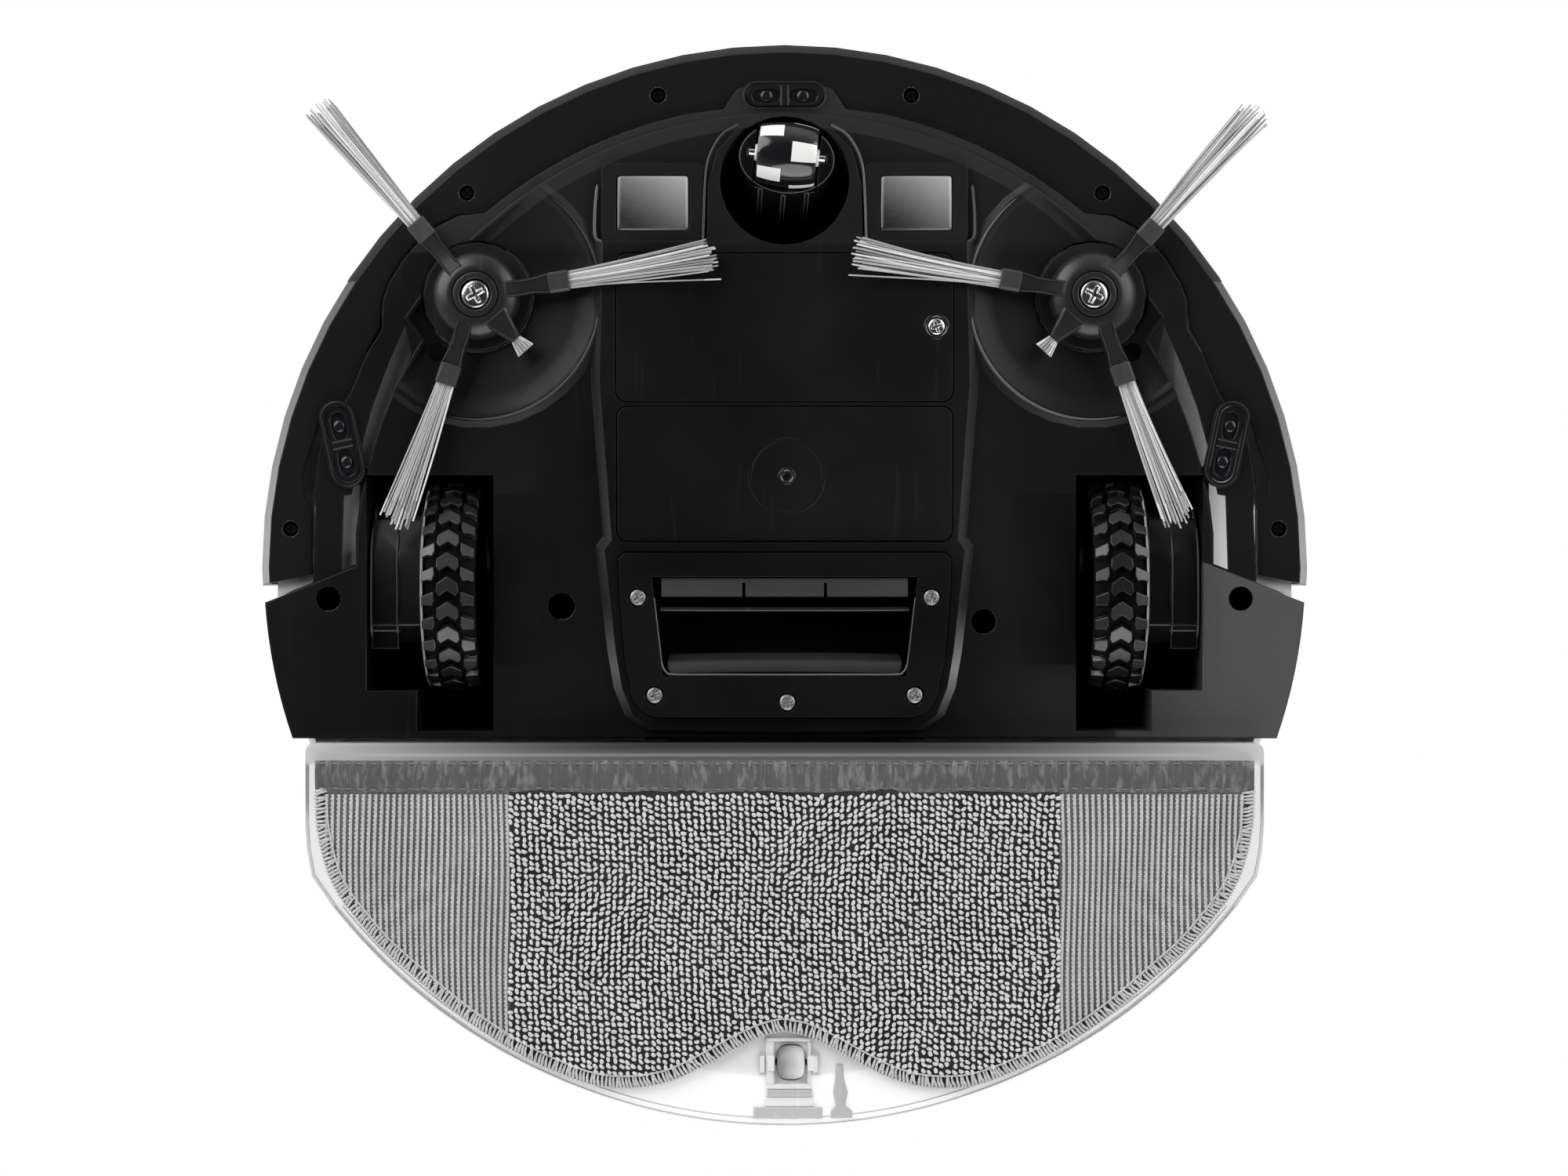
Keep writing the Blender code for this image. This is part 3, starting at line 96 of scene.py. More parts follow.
class Nodes:
    """Short ways to add nodes to a node tree; an input is a constant or another node's output."""

    def __init__(self, tree):
        self.tree = tree

    def feed(self, socket, value):
        if isinstance(value, bpy.types.NodeSocket):
            self.tree.links.new(value, socket)
        else:
            socket.default_value = value

    def add(self, kind, inputs=(), **props):
        made = self.tree.nodes.new(kind)
        for key, value in props.items():
            setattr(made, key, value)
        for key, value in dict(inputs).items():
            self.feed(made.inputs[key], value)
        return made

    def math(self, op, a, b=0.0, c=0.0):
        return self.add("ShaderNodeMath", {0: a, 1: b, 2: c}, operation=op).outputs[0]

    def times(self, first, *others):
        for other in others:
            first = self.math("MULTIPLY", first, other)
        return first

    def most(self, first, *others):
        for other in others:
            first = self.math("MAXIMUM", first, other)
        return first

    def minus(self, a, b):
        return self.math("SUBTRACT", a, b)

    def power(self, value, exponent):
        return self.math("POWER", value, exponent)

    def size(self, value):
        return self.math("ABSOLUTE", value)

    def below(self, value, limit):
        return self.math("LESS_THAN", value, limit)

    def above(self, value, limit):
        return self.math("GREATER_THAN", value, limit)

    def span(self, value, a, b, c=0.0, d=1.0):
        """Maps a to c and b to d, and holds both ends."""
        inputs = {"Value": value, "From Min": a, "From Max": b, "To Min": c, "To Max": d}
        return self.add("ShaderNodeMapRange", inputs).outputs[0]

    def split(self, vector):
        return self.add("ShaderNodeSeparateXYZ", {0: vector}).outputs

    def blend(self, factor, a, b):
        """A colour between a and b."""
        a, b = [c if isinstance(c, bpy.types.NodeSocket) else (*c, 1.0) for c in (a, b)]
        return self.add("ShaderNodeMix", {0: factor, 6: a, 7: b}, data_type="RGBA").outputs[2]


class Finish(Nodes):
    """A new material with a Principled BSDF."""

    def __init__(self, name):
        self.mat = bpy.data.materials.new(name)
        self.mat.use_nodes = True
        super().__init__(self.mat.node_tree)
        self.surface = self.tree.nodes["Principled BSDF"]
        self.place = self.add("ShaderNodeTexCoord").outputs["Object"]

    def xyz(self):
        """Place on the object in millimetres."""
        scale = {0: self.place, "Scale": 1 / MM}
        return self.split(self.add("ShaderNodeVectorMath", scale, operation="SCALE").outputs[0])

    def reach(self, x, y):
        """Distance from the body's vertical axis."""
        north = self.minus(y, BODY_Y)
        return self.math("SQRT", self.math("MULTIPLY_ADD", x, x, self.times(north, north)))

    def noise(self, size, detail=3.0, stretch=None):
        """Noise whose features are about size millimetres across."""
        place = self.place
        if stretch:
            place = self.add("ShaderNodeMapping", {"Vector": place, "Scale": stretch}).outputs[0]
        inputs = {"Vector": place, "Scale": 1 / (size * MM), "Detail": detail}
        return self.add("ShaderNodeTexNoise", inputs).outputs[0]

    def dress(self, inputs):
        for key, value in inputs.items():
            self.feed(self.surface.inputs[key], value)

    def relief(self, height, strength, distance, edge):
        """Bump from a height, over edges rounded by edge millimetres."""
        inputs = {"Height": height, "Strength": strength, "Distance": distance * MM}
        if edge:
            inputs["Normal"] = self.add("ShaderNodeBevel", {"Radius": edge * MM}, samples=4).outputs[0]
        self.dress({"Normal": self.add("ShaderNodeBump", inputs).outputs[0]})


def moulded(name, colour, rough, spread=0.15, rough_spread=0.06, grain=0.25, grain_size=0.35, edge=0.35,
            coat=0.0, wear=0.25, shine=0.5, paint=None):
    """Moulded plastic or rubber with cloudy colour, fine grain and rub marks.

    Without a paint function it also has lighter worn patches."""
    f = Finish(name)
    cloud = f.noise(42.0, 5.0)
    marks = f.span(f.noise(3.0, 4.0, (1.0, 0.08, 1.0)), 0.62, 0.72, 0.0, wear)
    tint = f.blend(f.span(cloud, 0.3, 0.7), scaled(colour, 1 - spread), scaled(colour, 1 + spread))
    if paint:
        tint = paint(f, tint)
    else:
        tint = f.blend(marks, tint, [min(1.0, c * 1.35 + 0.006) for c in colour])
    base = f.span(cloud, 0.3, 0.7, rough - rough_spread, rough + rough_spread)
    f.dress({"Base Color": tint, "Roughness": f.math("MULTIPLY_ADD", marks, 0.25, base),
             "Coat Weight": coat, "Coat Roughness": 0.08, "Specular IOR Level": shine})
    f.relief(f.noise(grain_size, 2.0), grain, 0.05, edge)
    return f.mat


def bumper_colour(f, tint):
    """White outer wall, its lower edge painted grey as shade and darker towards the front; black lower face,
    and black below the front window.
    """
    x, y, z = f.xyz()
    window = f.times(f.below(y, -91.5), f.below(z, 53.0))
    inside = f.times(f.below(f.reach(x, y), 155.5), f.below(z, 30.0))
    black = f.most(f.below(z, 14.9), window, inside)
    # Painted shade: the white wall's lower chamfer is coloured grey, darker towards the front, where it is
    # lit less.
    shade = f.power(f.span(y, -135.0, -10.0), 1.6)
    rim = f.blend(shade, grey(0.035, 0.001), grey(0.34))
    wall = f.blend(f.span(z, 24.0, 32.0), rim, tint)
    return f.blend(black, wall, grey(0.0085, 0.0003))


def chassis_colour(f, tint):
    """Black, with painted highlights on the steep walls at the platform's rear corners, round the front edge,
    towards the right rear and on the right rear ear, and painted shade beside the wheel wells.
    """
    x, y, z = f.xyz()
    normal = f.split(f.add("ShaderNodeNewGeometry").outputs["True Normal"])
    sideways = f.span(f.size(normal[0]), 0.2, 0.7, 0.15, 1.0)
    # Painted highlight: steep side walls near the rear corners are lightened, more on the right.
    wall = f.times(f.below(f.size(normal[2]), 0.9), f.below(z, 13.5), sideways)
    corner = f.power(f.span(f.size(f.minus(y, 27.0)), 0.0, 20.0, 1.0, 0.0), 1.5)
    corner = f.math("MULTIPLY_ADD", corner, f.span(x, -10.0, 10.0, 0.09, 0.24), 0.008)
    lit = f.blend(f.times(wall, corner), tint, WHITE)
    # Painted highlight round the front edge.
    band = f.times(f.above(f.reach(x, y), 134.6), f.below(y, -100.0))
    front = f.span(y, -104.0, -100.0, 0.005, 0.0)
    lit = f.blend(f.math("MULTIPLY_ADD", band, 0.012, front), lit, WHITE)
    # Painted highlight towards the right rear and on the right rear ear.
    rear = f.times(f.span(x, 45.0, 80.0, 0.0, 0.009), f.span(y, 16.0, 32.0))
    behind_wheel = f.span(f.math("MULTIPLY_ADD", x, -0.383, y), -54.5, -54.1)
    ear = f.times(f.span(x, 100.0, 102.0), behind_wheel, f.span(x, 110.0, 135.0, 0.04, 0.068))
    lit = f.blend(f.most(rear, ear), lit, WHITE)
    # Painted shade: darker beside the wheel wells.
    across = f.size(x)
    beside = f.times(f.below(f.size(y), 26.0), f.below(across, 90.0), f.span(across, 66.0, 86.0, 0.0, 0.75))
    return f.blend(beside, lit, grey(0.001))


def hole_shade_colour(f, tint):
    """Painted shade: near-black colour at the bottom of a hole, standing in for its shadow."""
    return f.blend(f.span(f.noise(1.5), 0.4, 0.6), grey(0.0002), grey(0.0006))


def roller_painted_shade(f, tint):
    """Painted shade across the roller: grey at one end, almost white at the other."""
    return f.blend(f.span(f.xyz()[0], -1.0, 5.5), grey(0.21), grey(0.72))


def frame_colour(f, tint):
    """Painted shade: grey where it lines the slots, lighter towards the rear; white on the tabs that close
    the bumper's ends.

    The lining of the right-hand slot has a painted glow, an emission that stands in for studio light behind
    it."""
    x, y, z = f.xyz()
    tab = f.times(f.above(f.size(x), 144.6), f.above(y, -9.5))
    # Painted shade on the slot lining.
    lining = f.blend(f.span(y, -70.0, 0.0), grey(0.12, 0.001), grey(0.36, 0.002))
    slot = f.times(f.above(x, 120.0), f.below(x, 144.6), f.below(z, 18.5))
    # Painted glow in the right-hand slot.
    glow = f.times(slot, f.span(y, -60.0, -6.0, 0.06, 0.42), f.span(x, 127.0, 134.5, 0.4, 1.1))
    f.dress({"Emission Color": (*WHITE, 1.0), "Emission Strength": glow})
    return f.blend(tab, lining, tint)


def brushed(name, level, rough, blue=0.0):
    """Drawn or brushed metal with fine lines one way."""
    f = Finish(name)
    colour = grey(level, blue)
    lines = f.noise(0.25, 3.0, (1.0, 0.03, 1.0))
    tint = f.blend(lines, scaled(colour, 0.82), scaled(colour, 1.12))
    tint = f.blend(f.span(f.noise(9.0, 4.0), 0.5, 0.75, 0.0, 0.35), tint, scaled(colour, 0.7))
    rough = f.span(lines, 0.2, 0.8, rough - 0.06, rough + 0.1)
    f.dress({"Base Color": tint, "Roughness": rough, "Metallic": 1.0})
    f.relief(lines, 0.12, 0.02, 0.15)
    return f.mat


def contact_material(side, tag):
    """Nickel plate with a painted reflection, brighter towards one corner and darker towards the other, and a
    painted highlight on its rim.
    """
    f = Finish("steel_contact_painted_reflection_" + tag)
    x, y = f.xyz()[:2]
    lines = f.noise(0.22, 3.0, (0.05, 1.0, 1.0))
    u, v = f.minus(x, side * CONTACT[0]), f.minus(y, CONTACT[1])
    # Painted reflection: a gradient from dark to light across the plate.
    shade = f.power(f.span(f.math("MULTIPLY_ADD", v, -1.5, u), -18.0, 20.0), 1.5)
    tint = f.blend(shade, grey(0.015, 0.001), grey(0.42, 0.01))
    tint = f.blend(f.span(lines, 0.35, 0.65, 0.0, 0.12), tint, grey(0.2))
    edge = f.most(f.times(f.size(u), 1 / CONTACT[2]), f.times(f.size(v), 1 / CONTACT[3]))
    # Painted highlight along the rim.
    tint = f.blend(f.above(edge, 0.97), tint, grey(0.32))
    f.dress({"Base Color": tint, "Roughness": f.span(lines, 0.2, 0.8, 0.26, 0.38), "Metallic": 0.15})
    f.relief(lines, 0.06, 0.02, 0.2)
    return f.mat


def tank_material():
    """Clear polycarbonate with a light frost, greyer under the mop as painted shade.

    Its front lip is painted dark grey for the dark body seen through it, lighter towards its ends and along
    its crest as painted highlight. The rear middle of its underside has a painted glow, an emission that
    stands in for studio light."""
    f = Finish("tank_polycarbonate_painted_light")
    x, y, z = f.xyz()
    reach, across = f.reach(x, y), f.size(x)
    scratch = f.noise(0.5, 2.0, (0.05, 1.0, 1.0))
    clear = f.blend(f.noise(30.0, 4.0), grey(0.93), grey(0.985))
    # Painted shade: greyer inside the curve under the mop.
    clear = f.blend(f.span(reach, 151.5, 154.5, 0.35, 0.0), clear, grey(0.6))
    # Painted shade and highlight on the front lip, for the dark body seen through it.
    lip = f.span(y, 55.0, 56.5, 1.0, 0.0)
    ends = f.power(f.span(across, 30.0, 143.0), 2.2)
    rise = f.math("MULTIPLY_ADD", f.span(y, 51.0, 53.0), 0.18, ends)
    crest_highlight = f.span(f.size(f.minus(y, 53.2)), 0.0, 0.7, 1.0, 0.0)
    level = f.math("MULTIPLY_ADD", crest_highlight, 0.35, rise)
    lip_painted_light = f.blend(level, grey(0.055, 0.001), grey(0.62, 0.005))
    middle = f.minus(1.0, f.span(across, 60.0, 100.0))
    rear = f.times(f.span(y, 120.0, 135.0, 0.0, 0.7), middle)
    # Painted glow on the rear middle of the underside.
    glow = f.times(rear, f.span(reach, 153.5, 154.5, 0.06, 0.2), f.below(z, 4.5))
    f.dress({"Base Color": f.blend(lip, clear, lip_painted_light), "Roughness": f.span(scratch, 0.3, 0.7, 0.05, 0.14),
             "Transmission Weight": f.minus(0.8, f.most(f.times(lip, 0.7), rear)), "IOR": 1.5,
             "Emission Color": (*WHITE, 1.0), "Emission Strength": glow})
    f.relief(scratch, 0.1, 0.02, 0.5)
    return f.mat


def fabric(name, dark, light, thread, rough=0.9, sheen=0.3, ribs=None, depth=0.25, bump=0.6, highlight_streak=0.0,
           middle=None):
    """Yarn with fibre fuzz: optional ribs of a given pitch with painted shade in their grooves, painted
    highlights along creases, and painted shade, near black, under the terry.
    """
    f = Finish(name)
    fuzz = f.noise(thread, 4.0)
    height = fuzz
    shade = f.span(fuzz, 0.35, 0.65)
    if ribs:
        x, y = f.xyz()[:2]
        across = f.math("SINE", f.times(x, tau / ribs[0]))
        down = f.math("SINE", f.times(y, tau / ribs[1]))
        weave = f.math("MULTIPLY_ADD", down, 0.55, across)
        height = f.math("MULTIPLY_ADD", weave, 0.5, fuzz)
        # Painted shade: the colour darkens where the ribs' height is low.
        shade = f.span(height, -0.3, 1.3)
    tint = f.blend(shade, dark, light)
    tint = f.blend(f.span(f.noise(14.0), 0.35, 0.7, 0.0, 0.3), tint, dark)
    if highlight_streak:
        # Painted highlight: light streaks along creases.
        crease = f.span(f.noise(highlight_streak, 2.0, (1.0, 0.3, 1.0)), 0.5, 0.68)
        tint = f.blend(crease, tint, scaled(light, 1.5))
    # Painted shade: near black under the terry, for the shade between its loops.
    if middle:
        tint = f.blend(f.below(f.size(f.xyz()[0]), middle), tint, grey(0.006))
    f.dress({"Base Color": tint, "Roughness": f.span(fuzz, 0.2, 0.8, rough - 0.08, min(1.0, rough + 0.08)),
             "Sheen Weight": sheen, "Sheen Roughness": 0.5})
    f.relief(height, bump, depth, 0.0)
    return f.mat


def gloss(name, level, rough, blue=0.0, **more):
    """A moulded neutral grey, from black to white."""
    return moulded(name, grey(level, blue), rough, **more)


def strands(name, level):
    """Nylon bristles."""
    return gloss(name, level, 0.45, spread=0.08, grain=0.02, edge=0.0, shine=0.3)


M = {
    "black_abs": gloss("moulding_black", 0.0055, 0.38, 0.0005, grain=0.18, edge=0.5, shine=0.45),
    "chassis": gloss("chassis_black_painted_light", 0.0042, 0.4, 0.0003, grain=0.18, edge=0.5, shine=0.2,
                     paint=chassis_colour),
    "covers": gloss("covers_black", 0.0042, 0.4, 0.0003, grain=0.18, edge=0.5, shine=0.2),
    "satin_abs": gloss("inlet_black", 0.0038, 0.34, 0.0002, grain=0.12, edge=0.4, wear=0.05, shine=0.22),
    "gear_gloss": gloss("gear_case_gloss", 0.006, 0.2, 0.0002, grain=0.05, edge=0.7, shine=0.6, wear=0.0),
    # Near black with little shine: painted shade in the tyre's grooves and round the bumper screws, and the
    # screws' heads.
    "black_and_groove_shade": gloss("black_and_groove_shade", 0.0025, 0.7, 0.0002, grain=0.3, edge=0.0, shine=0.1),
    # Painted shade: the near-black bottoms of the body's holes.
    "hole_painted_shade": gloss("hole_painted_shade", 0.0003, 0.9, grain=0.3, edge=0.0, shine=0.0, wear=0.0,
                        paint=hole_shade_colour),
    # Painted highlights: light-grey materials for thin beads that stand in for edge highlights.
    "edge_grey": gloss("painted_highlight_grey", 0.085, 0.3, 0.002, grain=0.1, edge=0.0),
    "edge_dim": gloss("painted_highlight_dim", 0.028, 0.3, 0.001, grain=0.1, edge=0.0),
    "ramp_grey": gloss("inlet_ramp", 0.016, 0.3, 0.0005, grain=0.1, edge=0.0),
    # Painted highlight: the light-grey band on the tyre's side.
    "side_grey": gloss("wheel_sidewall_highlight", 0.36, 0.3, 0.005, grain=0.2, edge=0.0),
    "white_shell": gloss("shell_white", 0.80, 0.24, spread=0.03, grain=0.08, edge=0.6, coat=0.3, wear=0.06),
    "mid_frame": gloss("mid_frame_painted_shade_and_glow", 0.80, 0.4, spread=0.03, grain=0.2, edge=0.3, paint=frame_colour),
    "bumper": gloss("bumper_two_tone_painted_shade", 0.80, 0.3, spread=0.03, grain=0.15, edge=0.5, shine=0.2,
                    paint=bumper_colour),
    "smoked_window": gloss("window_black", 0.006, 0.06, 0.002, rough_spread=0.02, grain=0.03, edge=0.3),
    "button_grey": gloss("button_grey_satin", 0.55, 0.3, 0.02, spread=0.05, grain=0.15),
    "circuit_board": moulded("board_green", (0.02, 0.11, 0.05), 0.45, spread=0.3, grain=0.4, grain_size=0.9),
    "cell_wrap": moulded("cell_blue", (0.03, 0.08, 0.20), 0.3, grain=0.2, grain_size=2.0),
    "bright_steel": brushed("steel_bright", 0.80, 0.2),
    "zinc_screw": brushed("steel_zinc", 0.50, 0.36),
    "dark_screw": brushed("steel_black", 0.025, 0.42),
    "spring_steel": brushed("steel_spring", 0.55, 0.28, 0.01),
    "contact_left": contact_material(-1, "left"),
    "contact_right": contact_material(1, "right"),
    "grey_rubber": gloss("rubber_grey", 0.030, 0.5, 0.001, grain=0.5, grain_size=0.5, edge=0.25),
    "roller_rubber": gloss("roller_grey_painted_shade", 0.45, 0.42, 0.005, grain=0.2, grain_size=0.4, edge=0.3,
                           paint=roller_painted_shade),
    "plug_rubber": gloss("plug_grey", 0.20, 0.42, 0.005, grain=0.4, grain_size=0.4, edge=0.3),
    "fitting_clear": gloss("fitting_frosted", 0.78, 0.25, 0.005, spread=0.05, grain=0.1, edge=0.25),
    # Painted shade: the greyer frosted pieces and lines on the tank's fittings.
    "fitting_shade": gloss("fitting_frosted_painted_shade", 0.50, 0.25, 0.005, spread=0.08, grain=0.1, edge=0.25),
    "sensor_black": gloss("sensor_gloss", 0.010, 0.16, 0.002, grain=0.05, edge=0.35),
    "caster_plastic": gloss("caster_gloss", 0.009, 0.12, 0.001, grain=0.05, edge=0.3, coat=0.4),
    "caster_white": gloss("caster_white", 0.80, 0.25, -0.01, spread=0.04, grain=0.08, edge=0.2),
    "brush_rubber": gloss("brush_black", 0.012, 0.34, 0.001, grain=0.22, grain_size=0.3, edge=0.3),
    "ferrule": gloss("ferrule_grey", 0.032, 0.42, 0.001, grain=0.4, edge=0.25),
    "bristle_grey": strands("bristle_nylon", 0.45),
    "bristle_dark": strands("bristle_nylon_dark", 0.34),
    "bristle_light": strands("bristle_nylon_light", 0.70),
    "tyre_rubber": gloss("tyre_black", 0.0095, 0.3, 0.0001, spread=0.25, grain=0.5, grain_size=0.4, edge=0.45,
                         shine=0.7),
    "clear_tank": tank_material(),
    "tank_grey": gloss("tank_grey_plastic", 0.35, 0.38, 0.01, grain=0.2),
    "filter_white": fabric("filter_paper", (0.62, 0.61, 0.57), (0.86, 0.85, 0.82), 0.7, sheen=0.1),
    # The knit ground is painted near black under the terry as shade.
    "mop_cloth": fabric("mop_knit_painted_shade", grey(0.04, 0.001), grey(0.2, 0.005), 0.35, ribs=(0.475, 0.5),
                        depth=0.3, bump=0.9, middle=83.0),
    "mop_loop": fabric("mop_loops", grey(0.42, 0.002), grey(0.86, 0.01), 0.3, depth=0.2),
    "mop_rib": fabric("mop_ribs", grey(0.32, 0.002), grey(0.74, 0.005), 0.3, depth=0.2),
    "mop_stitch": fabric("mop_stitches", grey(0.16, 0.001), grey(0.52, 0.002), 0.3, depth=0.1),
    # Painted highlights: light streaks along the binding's creases.
    "mop_binding": fabric("mop_binding_satin", grey(0.045, 0.001), grey(0.11, 0.002), 0.5, rough=0.38,
                          ribs=(0.5, 0.7), depth=0.05, sheen=0.6, highlight_streak=1.7),
    "mop_thread": fabric("mop_thread", grey(0.30, 0.002), grey(0.80, 0.01), 0.25),
    "mop_seam": fabric("mop_seam_thread", grey(0.10, 0.001), grey(0.28, 0.002), 0.25),
}


# ---------------------------------------------------------------- mesh tools
def tidy_faces(mesh, smooth, weld=False):
    """Faces point outward and are smooth up to an angle."""
    bm = bmesh.new()
    bm.from_mesh(mesh)
    if weld:
        bmesh.ops.remove_doubles(bm, verts=bm.verts, dist=1e-6)
    bmesh.ops.recalc_face_normals(bm, faces=bm.faces)
    bm.to_mesh(mesh)
    bm.free()
    mesh.polygons.foreach_set("use_smooth", [True] * len(mesh.polygons))
    mesh.set_sharp_from_angle(angle=radians(smooth))


def piece(name, verts, faces, slot, body, material=None, smooth=35.0, replaces=(), weld=True):
    """A finished piece from points in millimetres, riding on a body."""
    mesh = bpy.data.meshes.new(name)
    mesh.from_pydata([tuple(v) for v in np.asarray(verts, float) * MM], [], [tuple(f) for f in faces])
    obj = bpy.data.objects.new(name, mesh)
    bpy.context.scene.collection.objects.link(obj)
    mesh.materials.append(M[material or slot])
    tidy_faces(mesh, smooth, weld)
    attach(obj, body)
    if replaces:
        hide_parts(*replaces)
    return obj


class Build:
    """Collects many small shapes, in millimetres, into one mesh."""

    def __init__(self):
        self.verts = []
        self.faces = []

    def put(self, verts, faces):
        """Adds one shape's points and faces."""
        start = len(self.verts)
        self.verts.extend([tuple(v) for v in verts])
        self.faces.extend([tuple(i + start for i in f) for f in faces])

    def grid(self, rings, closed=True, caps=True):
        """Skins rings of equal count; closed joins each ring's ends."""
        n = len(rings[0])
        verts = [v for ring in rings for v in ring]
        faces = []
        for k in range(len(rings) - 1):
            for i in range(n if closed else n - 1):
                j = (i + 1) % n
                faces.append((k * n + i, k * n + j, (k + 1) * n + j, (k + 1) * n + i))
        if caps:
            faces.append(tuple(range(n))[::-1])
            faces.append(tuple(range((len(rings) - 1) * n, len(rings) * n)))
        self.put(verts, faces)

    def tube(self, path, radius, sides=6, flat=1.0):
        """A round thread along a path; radius may be one number or one for each point."""
        path = np.asarray(path, float)
        radius = np.broadcast_to(radius, len(path))
        along = np.gradient(path, axis=0)
        along /= np.linalg.norm(along, axis=1)[:, None]
        axes = np.array([(0.0, 0.0, 1.0), (1.0, 0.0, 0.0), (0.0, 1.0, 0.0)])
        nearest = np.abs(along @ axes.T).max(axis=0)
        up = axes[0] if nearest[0] < 0.9 else axes[nearest.argmin()]
        rings = []
        for p, t, r in zip(path, along, radius):
            u = np.cross(t, up)
            u /= np.linalg.norm(u)
            v = np.cross(u, t)
            turns = [tau * k / sides for k in range(sides)]
            rings.append([p + r * (u * cos(a) + flat * v * sin(a)) for a in turns])
        self.grid(rings)

    def turned(self, profile, centre, steps=48, axis="Z"):
        """Turns a profile of (radius, height) about a vertical or sideways axis, without end caps."""
        cx, cy, cz = centre
        lines = []
        for i in range(steps):
            a = tau * i / steps
            c, s = cos(a), sin(a)
            if axis == "Z":
                lines.append([(cx + r * c, cy + r * s, cz + h) for r, h in profile])
            else:
                lines.append([(cx + h, cy + r * c, cz + r * s) for r, h in profile])
        n = len(profile)
        faces = []
        for i in range(steps):
            j = (i + 1) % steps
            faces.extend([(i * n + k, j * n + k, j * n + k + 1, i * n + k + 1) for k in range(n - 1)])
        self.put([v for line in lines for v in line], faces)

    def make(self, name, slot, body, material=None, smooth=35.0, replaces=(), weld=True):
        """Makes the piece; welding joins the points that shapes share."""
        return piece(name, self.verts, self.faces, slot, body, material, smooth, replaces, weld)


def smooth_line(points, per=6):
    """A Catmull-Rom curve through the points."""
    pts = [np.asarray(p, float) for p in points]
    pts = [2 * pts[0] - pts[1]] + pts + [2 * pts[-1] - pts[-2]]
    out = []
    for a, b, c, d in zip(pts, pts[1:], pts[2:], pts[3:]):
        for k in range(per):
            t = k / per
            out.append(0.5 * (2 * b + (c - a) * t + (2 * a - 5 * b + 4 * c - d) * t * t
                              + (3 * b - a - 3 * c + d) * t ** 3))
    return np.array(out + [pts[-2]])


def mirrored(half):
    """A profile from its first half: the second runs back along it on the other side of the middle."""
    return [tuple(p) for p in half] + [(r, -h) for r, h in half[::-1][1:]]


def arc(centre, radius, first, last, steps):
    """Points on a level arc, from one angle to another in degrees."""
    x, y, z = centre
    turns = [radians(first + (last - first) * k / steps) for k in range(steps + 1)]
    return [(x + radius * cos(a), y + radius * sin(a), z) for a in turns]


# ---------------------------------------------------------------- CAD nodes
# Nodes whose finish isn't the one that their slot names.
SPECIAL = {
    "bumper_shell": "bumper", "mid_frame": "mid_frame", "chassis_base": "chassis",
    "battery_cover": "covers", "duct_cover": "covers", "caster_fork": "gear_gloss",
    "gearbox_left": "gear_gloss", "gearbox_right": "gear_gloss",
    "tank_roller_axle": "dark_screw", "water_plug": "plug_rubber",
}


def dress_frame():
    """Each CAD node gets its finish, and smooth faces up to 32 degrees."""
    for name, obj in NODES.items():
        mesh = obj.data
        mesh.materials.clear()
        mesh.materials.append(M.get(SPECIAL.get(name, SLOTS[name]), M["bright_steel"]))
        mesh.polygons.foreach_set("material_index", [0] * len(mesh.polygons))
        if "custom_normal" in mesh.attributes:
            mesh.attributes.remove(mesh.attributes["custom_normal"])
        mesh.polygons.foreach_set("use_smooth", [True] * len(mesh.polygons))
        obj.modifiers.new("weld", "WELD").merge_threshold = 0.000002
        edges = obj.modifiers.new("edges", "EDGE_SPLIT")
        edges.split_angle = radians(32.0)
        edges.use_edge_sharp = False


# ---------------------------------------------------------------- screws
def screw_head(b, x, y, z, r, rise, depth, turn):
    """A pan head seen from below: a crowned disc with a cross recess."""
    rings = []
    steps, radial = 64, 16
    for i in range(radial + 1):
        t = i / radial
        ring = []
        for k in range(steps):
            a = tau * k / steps
            u, v = r * t * cos(a + turn), r * t * sin(a + turn)
            wide = 0.15 * r * (1.15 - 0.5 * t)
            inside = min(abs(u), abs(v)) - wide
            reach = hypot(u, v) - 0.66 * r
            cut = max(0.0, min(1.0, -max(inside, reach) / (0.06 * r) + 0.5))
            crown = rise * sqrt(max(0.0, 1 - t ** 2.6))
            ring.append((x + r * t * cos(a), y + r * t * sin(a), z - crown + cut * depth * (1 - 0.5 * t)))
        rings.append(ring)
    rings.append([(p[0], p[1], z + 0.9) for p in rings[-1]])
    b.grid(rings, caps=False)


def screw_place(node):
    """A screw's axis, radius, and lowest and highest points."""
    low, high = [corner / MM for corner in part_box(node)]
    return (low.x + high.x) / 2, (low.y + high.y) / 2, (high.x - low.x) / 2, low.z, high.z


